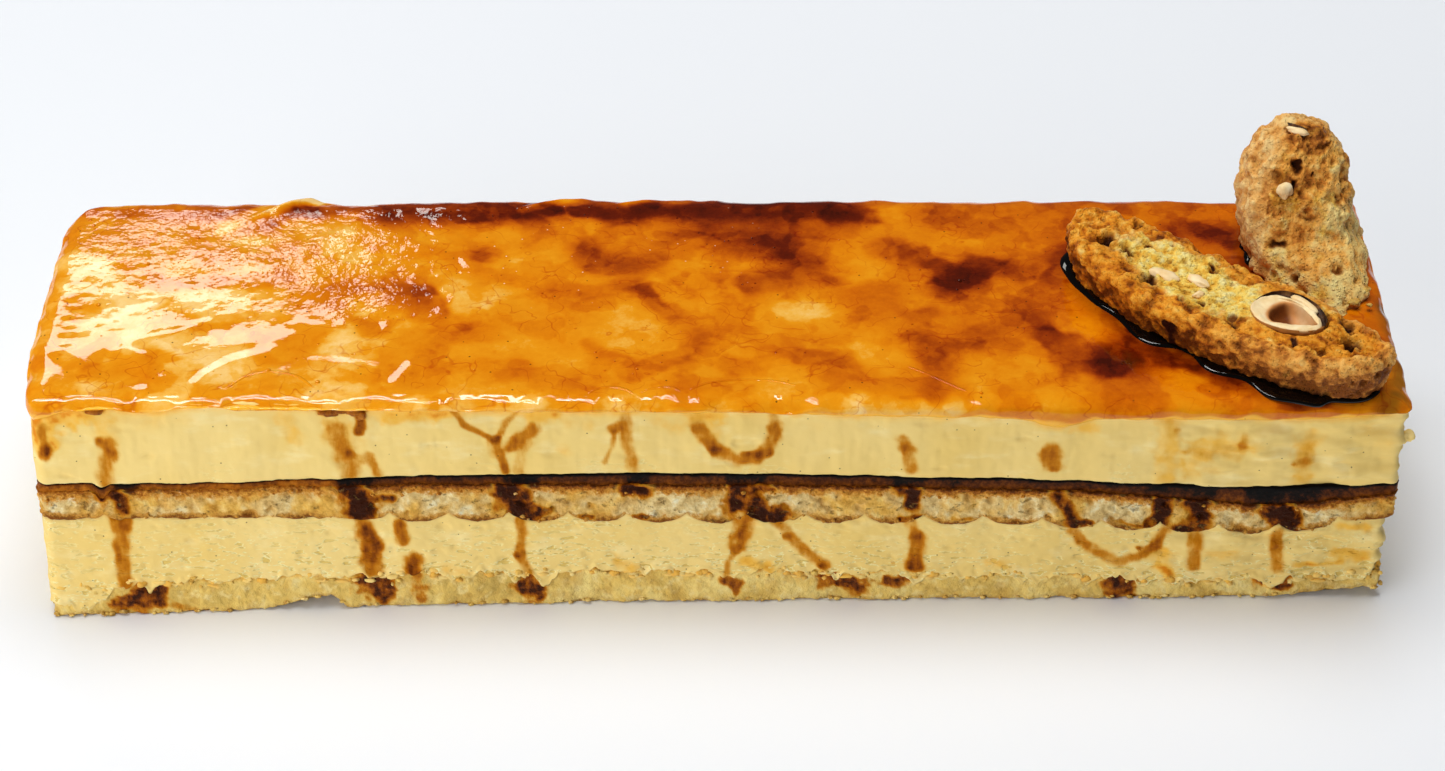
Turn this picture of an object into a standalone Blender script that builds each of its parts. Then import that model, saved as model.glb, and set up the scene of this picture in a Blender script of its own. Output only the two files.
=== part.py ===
"""A long rectangular mousse cake with a caramel glaze and two almond biscuits, built from its real layers.

From the table up: a sponge base, a slab of vanilla mousse, a piped ladyfinger sponge with its ridges
underneath, a band of coffee syrup, a second slab of mousse, a poured caramel glaze that hangs over the edges,
and a biscuit that lies on the glaze beside a broken one that stands at the back right corner.

The origin is on the table under the middle of the cake, +X runs along the cake, -Y to the front and +Z up.
The sizes below are in millimetres, and MM turns them into metres when a mesh is placed.
"""

import math

import bmesh
import bpy
from mathutils import Matrix, Vector, noise

MM = 0.001

# Driving dimensions of the whole
LENGTH = 300.0
DEPTH = 81.5
GLAZE_TOP = 56.4
GAP = 0.35  # clearance that every piece keeps to the piece below it
HALF_LENGTH = LENGTH / 2
HALF_DEPTH = DEPTH / 2
MOUSSE_TOP = 53.6

# Heights of the layers' joints along the front, as (x, height)
BASE_JOINT = [(-150, 8.2), (-105, 8.8), (-50, 9.4), (0, 9.0), (41, 8.2), (86, 6.6), (120, 5.6), (150, 6.8)]
LADYFINGER_JOINT = [
    (-150, 26.0), (-115, 25.6), (-70, 25.0), (0, 23.8), (63, 22.9), (108, 20.4), (130, 20.6), (150, 25.0),
]
SYRUP_JOINT = [
    (-150, 32.6), (-110, 33.0), (-60, 33.6), (-30, 33.4), (20, 32.8), (80, 30.9), (108, 28.4), (127, 27.2),
    (150, 30.6),
]
MOUSSE_JOINT = [
    (-150, 34.4), (-110, 34.5), (-48, 36.1), (-17, 36.3), (18, 35.7), (63, 34.6), (107, 32.6), (129, 32.2),
    (150, 33.2),
]
GLAZE_LIP = [
    (-150, 50.6), (-141, 53.6), (-133, 54.6), (-124, 53.2), (-114, 54.8), (-52, 53.7), (0, 53.5), (40, 52.6),
    (66, 51.8), (75, 49.8), (83, 51.7), (110, 51.9), (130, 52.1), (150, 54.0),
]

# The front face leans out at its foot on the left and in at its foot on the right
FRONT_FOOT = [(-150, -46.9), (-96, -44.0), (-17, -41.3), (36, -40.5), (110, -39.8), (150, -39.2)]
FRONT_TOP = [(-150, -40.3), (0, -40.7), (150, -41.2)]

# How far each layer stands out at its left, right and front, and how deep the unevenness of its sides is
STAND_OUT = {
    "sponge_base": (0.2, 1.0, 0.2, 0.9),
    "mousse_lower": (-0.6, -0.5, 0.0, 0.5),
    "ladyfinger_sponge": (0.3, 1.0, 0.2, 0.7),
    "coffee_syrup": (0.4, 1.2, 0.0, 0.2),
    "mousse_upper": (0.0, 0.5, 0.0, 0.6),
    "caramel_glaze": (2.1, 0.8, 0.8, 0.4),
}
LEFT_FADE = 22.0  # at the left a layer stands out fully only this far behind the front
SIDE_LUMPS = 9.0

# Radii of the upright corners
REAR_LEFT_CORNER = 14.0
FRONT_LEFT_CORNER = 3.0
RIGHT_CORNER = 1.6

# The ladyfinger sponge: piped ridges that run front to back, and the joint between its two sheets
RIDGE_PITCH = 13.2
FIRST_VALLEY = -125.4
RIDGE_DEPTH = 1.9
RIDGES_START = -84.0  # the ridges are pressed flat to the left of this
SHEET_JOINT = -135.5
SHEET_JOINT_DEPTH = 2.6
SHEET_JOINT_HALF = 2.8

# The base sponge: softer ridges on top, an arch under its front edge and a lifted right end
BASE_RIDGE_HEIGHT = 0.9
ARCH_LEFT, ARCH_TOP, ARCH_RIGHT = -104.0, -87.0, -82.5
ARCH_RISE = 3.1
ARCH_REACH = 17.0
LIFTED_END = 122.0
LIFTED_RISE = 2.4

# The glaze
LIP_DEPTH = 5.0
GLAZE_ROUNDING = 2.8
RIPPLES_FULL, RIPPLES_GONE = 30.0, 70.0  # the glaze is level from here on, under the biscuits
RIPPLE_SIZE, RIPPLE_RISE = 17.0, 0.5
CURLS = [  # folds pushed up at the back edge: centre x, y, half length, half width, turn in degrees, rise
    (-102.0, 38.4, 11.0, 2.6, 32, 3.0),
    (-40.0, 38.2, 8.5, 1.8, 20, 1.5),
    (-20.0, 38.6, 5.0, 1.6, 18, 1.0),
]

# The biscuits
LYING_CENTRE = Vector((113.6, -11.3))
LYING_TURN = math.radians(-42.5)
LYING_LENGTH = 85.0
LYING_WIDTH = 25.8
LYING_THICK = 11.0
LYING_SQUARENESS = 2.5
LYING_BEND = 4.7
LYING_PROFILE = [  # inset from the outline, then height
    (3.2, 0.0), (2.0, 1.0), (1.3, 3.0), (0.6, 5.2), (0.1, 7.4), (0.0, 9.0), (0.8, 10.4), (2.4, 11.0),
    (4.4, 10.9), (6.4, 10.7), (8.4, 10.6), (10.4, 10.6),
]
LYING_SEGMENTS = 68
CRUMB_SIZE = 4.0
CRUST_ROUGH, CRUMB_ROUGH = 0.7, 1.7
NUT_CENTRE = Vector((125.6, -24.0))
NUT_TURN = math.radians(-40)
NUT_LENGTH = 18.0
NUT_WIDTH = 15.0
NUT_SINK = 7.0
NUT_PROUD = 0.7
NUT_RIM = 2.6
NUT_HOLLOW = 1.8
STANDING_SECTIONS = [  # height, then the lowest and highest x and y of the section
    (0.0, 122.8, 147.6, 4.2, 34.6),
    (1.6, 121.6, 148.4, 3.8, 35.4),
    (8.0, 120.6, 146.6, 6.4, 35.6),
    (15.0, 120.4, 145.2, 10.0, 34.8),
    (22.0, 121.6, 143.4, 14.0, 33.2),
    (26.6, 124.2, 141.0, 17.2, 31.2),
    (29.4, 126.8, 137.8, 19.8, 29.4),
    (30.8, 129.4, 135.0, 22.4, 27.2),
]
STANDING_SIDES = [[(section[0], section[side]) for section in STANDING_SECTIONS] for side in (1, 2, 3, 4)]
STANDING_SQUARENESS = 3.0
STANDING_SEGMENTS = 44
STANDING_COURSES = 14

SPONGE = (0.80, 0.62, 0.33, 1.0)
MOUSSE = (0.90, 0.78, 0.45, 1.0)
SYRUP = (0.07, 0.025, 0.01, 1.0)
CARAMEL = (0.78, 0.33, 0.03, 1.0)
BISCUIT = (0.66, 0.38, 0.14, 1.0)
NUT = (0.85, 0.68, 0.45, 1.0)


def clear_scene():
    for obj in list(bpy.data.objects):
        bpy.data.objects.remove(obj)


def finish(name, color, roughness):
    made = bpy.data.materials.new(name)
    made.use_nodes = True
    shader = made.node_tree.nodes["Principled BSDF"]
    shader.inputs["Base Color"].default_value = color
    shader.inputs["Roughness"].default_value = roughness
    shader.inputs["Metallic"].default_value = 0.0
    return made


def smooth(t):
    t = min(max(t, 0.0), 1.0)
    return t * t * (3 - 2 * t)


def through(stations, x):
    """The height at x of the smooth curve through (x, height) stations."""
    x = min(max(x, stations[0][0]), stations[-1][0])
    last = len(stations) - 2
    i = next((k for k in range(last + 1) if x <= stations[k + 1][0]), last)

    def slope(k):
        before, after = stations[max(k - 1, 0)], stations[min(k + 1, last + 1)]
        return (after[1] - before[1]) / (after[0] - before[0])

    (x0, h0), (x1, h1) = stations[i], stations[i + 1]
    span = x1 - x0
    t = (x - x0) / span
    return (
        h0 * (2 * t**3 - 3 * t**2 + 1)
        + slope(i) * span * (t**3 - 2 * t**2 + t)
        + h1 * (3 * t**2 - 2 * t**3)
        + slope(i + 1) * span * (t**3 - t**2)
    )


def unevenness(x, y, z, size, amount):
    """A smooth random offset whose lumps are about size across."""
    return amount * noise.noise(Vector((x, y, z)) / size)


def valleys():
    """The x of each valley between two piped ridges, from left to right."""
    count = int((HALF_LENGTH - FIRST_VALLEY) / RIDGE_PITCH) + 1
    return [SHEET_JOINT] + [FIRST_VALLEY + RIDGE_PITCH * k for k in range(count)]


def ridge_swell(x):
    """0 in a valley between two ridges and 1 along the crest of a ridge."""
    edges = [-HALF_LENGTH - RIDGE_PITCH / 2] + valleys() + [HALF_LENGTH + RIDGE_PITCH / 2]
    left = max(v for v in edges if v <= x)
    right = min(v for v in edges if v > x)
    return math.sin(math.pi * (x - left) / (right - left)) ** 0.6


def sheet_joint(x):
    """How far the sponge is notched where its two sheets meet."""
    return SHEET_JOINT_DEPTH * max(0.0, 1 - abs(x - SHEET_JOINT) / SHEET_JOINT_HALF)


def base_underside(x, y):
    if x < ARCH_TOP:
        arch = smooth((x - ARCH_LEFT) / (ARCH_TOP - ARCH_LEFT))
    else:
        arch = smooth((ARCH_RIGHT - x) / (ARCH_RIGHT - ARCH_TOP))
    inwards = 1 - smooth((y + HALF_DEPTH) / ARCH_REACH)
    lifted = LIFTED_RISE * smooth((x - LIFTED_END) / (HALF_LENGTH - LIFTED_END))
    return inwards * max(ARCH_RISE * arch, lifted)


def base_top(x, y):
    return through(BASE_JOINT, x) + BASE_RIDGE_HEIGHT * (ridge_swell(x) - 0.5)


def ladyfinger_underside(x, y):
    deep = RIDGE_DEPTH * (0.2 + 0.8 * smooth((x - RIDGES_START) / RIDGE_PITCH))
    return through(LADYFINGER_JOINT, x) + deep * (0.6 - ridge_swell(x)) + 0.6 * sheet_joint(x)


def ladyfinger_top(x, y):
    return through(SYRUP_JOINT, x) - sheet_joint(x)


def syrup_top(x, y):
    return through(MOUSSE_JOINT, x) - 0.8 * sheet_joint(x)


def mousse_top(x, y):
    """Level under the glaze, and bent down or up to the wavy line where the glaze's lip ends in front."""
    at_lip = 1 - smooth((y + HALF_DEPTH) / LIP_DEPTH)
    return MOUSSE_TOP + at_lip * (through(GLAZE_LIP, x) - MOUSSE_TOP)


def curls(x, y):
    rise = 0.0
    for centre_x, centre_y, half_long, half_wide, turn, height in CURLS:
        angle = math.radians(turn)
        along = (x - centre_x) * math.cos(angle) + (y - centre_y) * math.sin(angle)
        across = (y - centre_y) * math.cos(angle) - (x - centre_x) * math.sin(angle)
        rise += height * math.exp(-((along / half_long) ** 4) - (across / half_wide) ** 2)
    return rise


def glaze_top(x, y):
    """The poured surface, which runs nearly level and rolls over at the edges."""
    inset = min(HALF_LENGTH - abs(x), HALF_DEPTH - abs(y))
    short = max(0.0, GLAZE_ROUNDING - inset) / GLAZE_ROUNDING
    roll = GLAZE_ROUNDING * (1 - math.sqrt(1 - min(short, 0.9) ** 2))
    rippled = smooth((RIPPLES_GONE - x) / (RIPPLES_GONE - RIPPLES_FULL))
    return GLAZE_TOP - roll + rippled * unevenness(x, y, 0, RIPPLE_SIZE, RIPPLE_RISE) + curls(x, y)


def rounded(x, y, half_x, half_y, radius):
    """A point of the rectangle moved so that the rectangle's corners become round."""
    over_x = (abs(x) - (half_x - radius)) / radius
    over_y = (abs(y) - (half_y - radius)) / radius
    if over_x <= 0 or over_y <= 0:
        return x, y
    pull = max(over_x, over_y) / math.hypot(over_x, over_y)
    return (
        math.copysign(half_x - radius + radius * over_x * pull, x),
        math.copysign(half_y - radius + radius * over_y * pull, y),
    )


def scored_block(columns, rows, courses):
    """A block from -1 to 1 each way, scored across at these shares of its length, depth and height."""
    block = bmesh.new()
    bmesh.ops.create_cube(block, size=2.0)
    for axis, cuts in enumerate((columns, rows, courses)):
        normal = Vector((0, 0, 0))
        normal[axis] = 1.0
        for cut in cuts:
            whole = block.verts[:] + block.edges[:] + block.faces[:]
            bmesh.ops.bisect_plane(block, geom=whole, plane_co=normal * cut, plane_no=normal, dist=1e-7)
    return block


def settle(name, shape, material, smooth_angle=40):
    """The bmesh as an object of that name."""
    bmesh.ops.recalc_face_normals(shape, faces=shape.faces[:])
    mesh = bpy.data.meshes.new(name)
    shape.to_mesh(mesh)
    shape.free()
    mesh.shade_smooth()
    mesh.set_sharp_from_angle(angle=math.radians(smooth_angle))
    obj = bpy.data.objects.new(name, mesh)
    bpy.context.scene.collection.objects.link(obj)
    mesh.materials.append(material)
    return obj


def corner_radius(u, v):
    if u > 0:
        return RIGHT_CORNER
    return REAR_LEFT_CORNER if v > 0 else FRONT_LEFT_CORNER


def layer(name, material, underside, top, scores):
    """One slab of the cake between two curved joints, with its cut sides a little uneven."""
    left, right, front, lumps = STAND_OUT[name]
    clearance = 0.0 if underside is base_underside else GAP
    block = scored_block(*scores)
    for vertex in block.verts:
        u, v, w = vertex.co
        x, y = rounded(u * HALF_LENGTH, v * HALF_DEPTH, HALF_LENGTH, HALF_DEPTH, corner_radius(u, v))
        low, high = underside(x, y) + clearance, top(x, y)
        z = low + (high - low) * (w + 1) / 2
        leaning = through(FRONT_FOOT, x) * (1 - z / MOUSSE_TOP) + through(FRONT_TOP, x) * z / MOUSSE_TOP
        out = right if u > 0 else -left * smooth((y + HALF_DEPTH) / LEFT_FADE)
        y += (leaning + HALF_DEPTH - front) * smooth(-v * 2 - 1)
        x += out * smooth(abs(u) * 12 - 11)
        if abs(v) > 0.99:
            y += unevenness(x, y, z, SIDE_LUMPS, lumps)
        if abs(u) > 0.99:
            x += unevenness(x, y, z + DEPTH, SIDE_LUMPS, lumps)
        vertex.co = Vector((x, y, z)) * MM
    return settle(name, block, material)


def shares(places, half):
    """Distances in from both edges, as shares of the half width, for scoring a block."""
    inner = [half - place for place in places]
    return sorted({share / half for share in inner} | {-share / half for share in inner})


def ridge_columns(parts):
    """Score lines at each valley and at these parts of every ridge."""
    edges = valleys()
    lines = edges + [SHEET_JOINT - SHEET_JOINT_HALF, SHEET_JOINT + SHEET_JOINT_HALF]
    for left, right in zip(edges, edges[1:]):
        lines += [left + part * (right - left) for part in parts]
    return [line / HALF_LENGTH for line in lines if abs(line) < HALF_LENGTH - 2]


def superellipse(angle, half_x, half_y, squareness):
    c, s = math.cos(angle), math.sin(angle)
    size = (abs(c) ** squareness + abs(s) ** squareness) ** (-1 / squareness)
    return size * c * half_x, size * s * half_y


def ring_loft(rings):
    """A closed solid through rings of points, from its underside to its top."""
    shape = bmesh.new()
    count = len(rings[0])
    foot = bmesh.ops.create_circle(shape, cap_ends=True, radius=1.0, segments=count)["verts"]
    for vertex, point in zip(foot, rings[0]):
        vertex.co = point
    edges = [e for e in shape.edges]
    for ring in rings[1:]:
        grown = bmesh.ops.extrude_edge_only(shape, edges=edges)["geom"]
        above = [g for g in grown if isinstance(g, bmesh.types.BMVert)]
        edges = [g for g in grown if isinstance(g, bmesh.types.BMEdge)]
        for vertex, point in zip(above, ring):
            vertex.co = point
    bmesh.ops.contextual_create(shape, geom=edges)
    return shape


def lying_biscuit(material):
    """A slice of an almond log on its cut face, bent a little, with crust round it and rough crumb on top."""
    foot_z = GLAZE_TOP + GAP
    turn = Matrix.Rotation(LYING_TURN, 2)
    rings = []
    for inset, height in LYING_PROFILE:
        half_long, half_wide = LYING_LENGTH / 2 - inset, LYING_WIDTH / 2 - inset
        sideways = CRUST_ROUGH * smooth(height) * (1 - smooth((inset - 2) / 4))
        upwards = CRUMB_ROUGH * smooth((height - 6) / 4)
        ring = []
        for k in range(LYING_SEGMENTS):
            px, py = superellipse(2 * math.pi * k / LYING_SEGMENTS, half_long, half_wide, LYING_SQUARENESS)
            py -= LYING_BEND * (1 - (2 * px / LYING_LENGTH) ** 2)
            place = LYING_CENTRE + turn @ Vector((px, py))
            outwards = (place - LYING_CENTRE).normalized()
            place += outwards * unevenness(place.x, place.y, height, CRUMB_SIZE, sideways)
            z = foot_z + height + unevenness(place.x, place.y, 0, CRUMB_SIZE, upwards)
            ring.append(Vector((place.x, place.y, z)) * MM)
        rings.append(ring)
    return settle("biscuit_lying", ring_loft(rings), material, 60)


def nut_body(name, swell):
    """Half a hazelnut, flat side up; swell makes it larger all round."""
    shape = bmesh.new()
    bmesh.ops.create_uvsphere(shape, u_segments=20, v_segments=10, radius=1.0)
    scale = Vector((NUT_LENGTH / 2 + swell, NUT_WIDTH / 2 + swell, NUT_SINK + swell))
    bmesh.ops.scale(shape, vec=scale * MM, verts=shape.verts[:])
    whole = shape.verts[:] + shape.edges[:] + shape.faces[:]
    if not swell:
        cut = bmesh.ops.bisect_plane(
            shape, geom=whole, plane_co=(0, 0, 1e-6), plane_no=(0, 0, 1), clear_outer=True
        )["geom_cut"]
        rim = [g for g in cut if isinstance(g, bmesh.types.BMEdge)]
        face = bmesh.ops.contextual_create(shape, geom=rim)["faces"]
        bmesh.ops.inset_individual(shape, faces=face, thickness=NUT_RIM * MM)
        bmesh.ops.inset_individual(shape, faces=face, thickness=NUT_HOLLOW * MM, depth=-NUT_HOLLOW * MM)
    place = Matrix.Translation(Vector((NUT_CENTRE.x, NUT_CENTRE.y, nut_face())) * MM)
    bmesh.ops.transform(shape, matrix=place @ Matrix.Rotation(NUT_TURN, 4, "Z"), verts=shape.verts[:])
    return shape


def nut_face():
    return GLAZE_TOP + GAP + LYING_THICK + NUT_PROUD


def seat_nut(biscuit, nut_material):
    """Sets the half hazelnut in a pocket of the lying biscuit."""
    cutter = settle("nut_pocket", nut_body("nut_pocket", GAP), nut_material)
    cutter.hide_render = True
    cutter.display_type = "WIRE"
    pocket = biscuit.modifiers.new("nut_pocket", "BOOLEAN")
    pocket.operation = "DIFFERENCE"
    pocket.solver = "EXACT"
    pocket.object = cutter
    return settle("hazelnut", nut_body("hazelnut", 0), nut_material)


def standing_biscuit(material):
    """The broken end of an almond log at the rear right: crust behind, and torn crumb that leans back."""
    foot_z = GLAZE_TOP + GAP
    tall = STANDING_SECTIONS[-1][0]
    rings = []
    for course in range(STANDING_COURSES + 1):
        height = tall * math.sin(math.pi / 2 * course / STANDING_COURSES)
        x_low, x_high, y_low, y_high = (through(side, height) for side in STANDING_SIDES)
        centre = Vector(((x_low + x_high) / 2, (y_low + y_high) / 2))
        half_x, half_y = (x_high - x_low) / 2, (y_high - y_low) / 2
        ring = []
        for k in range(STANDING_SEGMENTS):
            angle = 2 * math.pi * k / STANDING_SEGMENTS
            out = Vector(superellipse(angle, half_x, half_y, STANDING_SQUARENESS))
            torn = smooth(0.5 - out.y / half_y)
            rough = smooth(height) * (CRUST_ROUGH + torn * (CRUMB_ROUGH - CRUST_ROUGH))
            place = centre + out
            place += out.normalized() * unevenness(place.x, place.y, height, CRUMB_SIZE, rough)
            z = foot_z + height + unevenness(place.x, place.y, 0, CRUMB_SIZE, rough * smooth(height / tall))
            ring.append(Vector((place.x, place.y, z)) * MM)
        rings.append(ring)
    return settle("biscuit_standing", ring_loft(rings), material, 60)


def main():
    clear_scene()
    sponge = finish("sponge", SPONGE, 0.85)
    mousse = finish("mousse", MOUSSE, 0.55)
    syrup = finish("coffee_syrup", SYRUP, 0.25)
    caramel = finish("caramel", CARAMEL, 0.12)
    crust = finish("biscuit", BISCUIT, 0.8)
    kernel = finish("hazelnut", NUT, 0.6)

    fine = ridge_columns((0.2, 0.5, 0.8))
    coarse = ridge_columns((0.5,))
    ends = [side * (1 - inset / HALF_LENGTH) for side in (-1, 1) for inset in (1.0, GLAZE_ROUNDING)]
    edge_rows = shares((6.0,), HALF_DEPTH)
    arch_rows = shares((6.0, ARCH_REACH), HALF_DEPTH)
    lip_rows = shares((LIP_DEPTH / 2, LIP_DEPTH), HALF_DEPTH)
    glaze_rows = shares((1.0, GLAZE_ROUNDING, LIP_DEPTH, 12.0, 24.0), HALF_DEPTH) + [0.0]
    half_way = (0.0,)

    layer("sponge_base", sponge, base_underside, base_top, (fine, arch_rows, half_way))
    layer("mousse_lower", mousse, base_top, ladyfinger_underside, (fine, edge_rows, half_way))
    layer("ladyfinger_sponge", sponge, ladyfinger_underside, ladyfinger_top, (fine, edge_rows, half_way))
    layer("coffee_syrup", syrup, ladyfinger_top, syrup_top, (coarse, edge_rows, ()))
    layer("mousse_upper", mousse, syrup_top, mousse_top, (coarse, lip_rows, (-0.3, 0.4)))
    layer("caramel_glaze", caramel, mousse_top, glaze_top, (coarse + ends, glaze_rows, half_way))
    lying = lying_biscuit(crust)
    seat_nut(lying, kernel)
    standing_biscuit(crust)


main()
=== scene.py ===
"""The looks of a long mousse cake with a caramel glaze and two almond biscuits.

Every layer is lofted again round the same joints as its solid, with crumb, pits, stains and soaked edges,
and the glaze, the biscuits and the nuts get their real surfaces. Sizes are in millimetres, and MM turns them
into metres when a mesh is placed. +X runs along the cake, -Y to the front and +Z up.
"""

import math
import random

import bmesh
import bpy
import numpy as np
from mathutils import Matrix, Vector, noise


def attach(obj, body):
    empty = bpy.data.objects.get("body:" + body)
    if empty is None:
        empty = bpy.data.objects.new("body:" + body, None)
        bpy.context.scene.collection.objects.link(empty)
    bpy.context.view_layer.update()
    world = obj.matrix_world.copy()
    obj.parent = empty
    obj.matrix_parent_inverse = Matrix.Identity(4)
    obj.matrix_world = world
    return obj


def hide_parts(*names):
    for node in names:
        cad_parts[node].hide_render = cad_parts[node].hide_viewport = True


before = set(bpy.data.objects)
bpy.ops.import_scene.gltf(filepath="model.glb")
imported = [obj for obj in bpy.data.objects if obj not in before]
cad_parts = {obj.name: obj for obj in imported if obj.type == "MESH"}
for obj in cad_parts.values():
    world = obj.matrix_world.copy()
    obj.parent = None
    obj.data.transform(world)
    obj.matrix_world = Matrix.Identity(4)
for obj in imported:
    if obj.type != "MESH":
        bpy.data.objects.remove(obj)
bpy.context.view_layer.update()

MM = 0.001
MERGE = 1e-6

# ---------------------------------------------------------------- sizes, the same as the solids have

LENGTH, DEPTH = 300.0, 81.5
HALF_LENGTH, HALF_DEPTH = LENGTH / 2, DEPTH / 2
GLAZE_TOP = 56.4
MOUSSE_TOP = 53.6
GAP = 0.35

BASE_JOINT = [(-150, 8.2), (-105, 8.8), (-50, 9.4), (0, 9.0), (41, 8.2), (86, 6.6), (120, 5.6), (150, 6.8)]
LADYFINGER_JOINT = [
    (-150, 26.0), (-115, 25.6), (-70, 25.0), (0, 23.8), (63, 22.9), (108, 20.4), (130, 20.6), (150, 25.0),
]
SYRUP_JOINT = [
    (-150, 32.6), (-110, 33.0), (-60, 33.6), (-30, 33.4), (20, 32.8), (80, 30.9), (108, 28.4), (127, 27.2),
    (150, 30.6),
]
MOUSSE_JOINT = [
    (-150, 34.4), (-110, 34.5), (-48, 36.1), (-17, 36.3), (18, 35.7), (63, 34.6), (107, 32.6), (129, 32.2),
    (150, 33.2),
]
GLAZE_LIP = [
    (-150, 50.6), (-141, 53.6), (-133, 54.6), (-124, 53.2), (-114, 54.8), (-52, 53.7), (0, 53.5), (40, 52.6),
    (66, 51.8), (75, 49.8), (83, 51.7), (110, 51.9), (130, 52.1), (150, 54.0),
]
FRONT_FOOT = [(-150, -46.9), (-96, -44.0), (-17, -41.3), (36, -40.5), (110, -39.8), (150, -39.2)]
FRONT_TOP = [(-150, -40.3), (0, -40.7), (150, -41.2)]

STAND_OUT = {  # how far each layer stands out at its left end, its right end and its front
    "sponge_base": (0.2, 1.0, 0.2),
    "mousse_lower": (-0.6, -0.5, 0.0),
    "ladyfinger_sponge": (0.3, 1.0, 0.2),
    "coffee_syrup": (0.4, 1.2, 0.0),
    "mousse_upper": (0.0, 0.5, 0.0),
    "caramel_glaze": (2.1, 0.8, 0.8),
}
LEFT_FADE = 22.0
SIDE_LUMPS = 9.0
REAR_LEFT_CORNER, FRONT_LEFT_CORNER, RIGHT_CORNER = 14.0, 3.0, 1.6

RIDGE_PITCH = 13.2
FIRST_VALLEY = -125.4
RIDGE_DEPTH = 2.9
RIDGES_START = -84.0
SHEET_JOINT = -135.5
SHEET_JOINT_DEPTH, SHEET_JOINT_HALF = 2.6, 2.8
JOINT_LIFT, JOINT_DIP, SYRUP_DIP = 0.6, 1.6, 0.8  # how far the layers follow the sheets' joint
BASE_RIDGE_HEIGHT = 0.9
JOINT_WAVERS = {  # a row of its own in the noise, the length of the waver's lumps and their height
    "base": (1, 5.0, 0.5),
    "ladyfinger": (2, 3.0, 0.3),
    "syrup": (3, 4.0, 0.3),
    "syrup_grain": (3.5, 1.3, 0.25),
    "mousse": (4, 6.0, 0.22),
    "lip": (5, 5.0, 0.35),
}
ARCH_LEFT, ARCH_TOP, ARCH_RIGHT = -104.0, -87.0, -82.5
ARCH_RISE, ARCH_REACH = 3.1, 17.0
LIFTED_END, LIFTED_RISE = 122.0, 2.4

EDGE_ROLL = 0.45
ROLLED_EDGES = {  # how fully each layer's lower and upper edge are rolled in: 0 where two layers merge
    "sponge_base": (1.0, 1.0),
    "mousse_lower": (0.6, 1.0),
    "ladyfinger_sponge": (1.0, 0.0),
    "coffee_syrup": (0.0, 0.5),
    "mousse_upper": (1.0, 0.5),
}

HIDDEN_INSETS, HIDDEN_SHIFT = (14.0, 5.0, 1.8, 0.8), 0.2  # the rings of a layer's faces inside the cake
DRAG_START, DRAG_FULL, DRAG_RISE = 84, 118, 1.3
SMEAR_LEFT, SMEAR_FOOT = -134, 3.6  # where the lower mousse is smeared down over the base

LIP_DEPTH = 5.0
LIP_COURSES, LIP_BULGE, LIP_WAVER = 8, 0.45, 0.35
GLAZE_HIDDEN_INSETS = (14.0, 5.0, 1.5)
GLAZE_ROUNDING, GLAZE_ROLL_REACH, GLAZE_ROLL = 2.8, 5.0, 0.92
SAG_BEHIND, SAG_IN_FRONT = 0.75, 0.42
RIPPLES_FULL, RIPPLES_GONE = 30.0, 70.0
RIPPLE_SIZE, RIPPLE_RISE = 17.0, 0.5
CURLS = [  # centre x, y, half length, half width, turn in degrees, rise
    (-100.5, 38.0, 12.0, 1.9, 34, 2.9),
    (-40.0, 38.2, 8.5, 1.8, 20, 1.5),
    (-20.0, 38.6, 5.0, 1.6, 18, 1.0),
]

SWOOSHES = [  # smooth ridges swept up in the glaze: path of (x, y), half width, rise
    ([(-124.9, -36.0), (-121.3, -43.0)], 1.5, 0.12),
    ([(-113.2, -34.0), (-111.3, -30.8), (-106.9, -26.6), (-99.0, -22.9)], 2.0, 0.17),
    ([(-143.6, -21.9), (-139.3, -28.0), (-136.3, -32.6)], 2.2, 0.15),
    ([(-131.6, -21.9), (-127.6, -24.4), (-122.9, -32.6)], 1.9, 0.17),
    ([(-128.6, -17.9), (-118.3, -14.0), (-108.6, -8.0), (-99.4, -6.6)], 2.4, 0.13),
    ([(-69.8, -33.8), (-66.9, -27.6), (-64.2, -27.0)], 1.7, 0.16),
]

LYING_CENTRE = np.array((113.6, -11.3))
LYING_TURN = math.radians(-42.5)
LYING_LENGTH, LYING_WIDTH, LYING_THICK = 85.0, 25.8, 11.0
LYING_SQUARENESS = 2.5
LYING_BEND = 4.7
LYING_PROFILE = [  # inset from the outline, then height
    (3.2, 0.0), (2.0, 1.0), (1.3, 3.0), (0.6, 5.2), (0.1, 7.4), (0.0, 9.0), (0.8, 10.4), (2.4, 11.0),
    (4.4, 10.9), (6.4, 10.7), (8.4, 10.6), (10.4, 10.6), (12.9, 10.6),
]
CRUMB_SIZE = 4.0
CRUST_ROUGH, CRUMB_ROUGH = 0.7, 1.7
NUT_CENTRE = np.array((125.6, -24.8))
NUT_TURN = math.radians(-40)
NUT_LENGTH, NUT_WIDTH = 18.0, 15.0
NUT_PROUD, NUT_POCKET_FLOOR = 0.7, 5.5
LYING_TOP = GLAZE_TOP + GAP + LYING_THICK
CUT_FACE = LYING_TOP + NUT_PROUD
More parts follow.
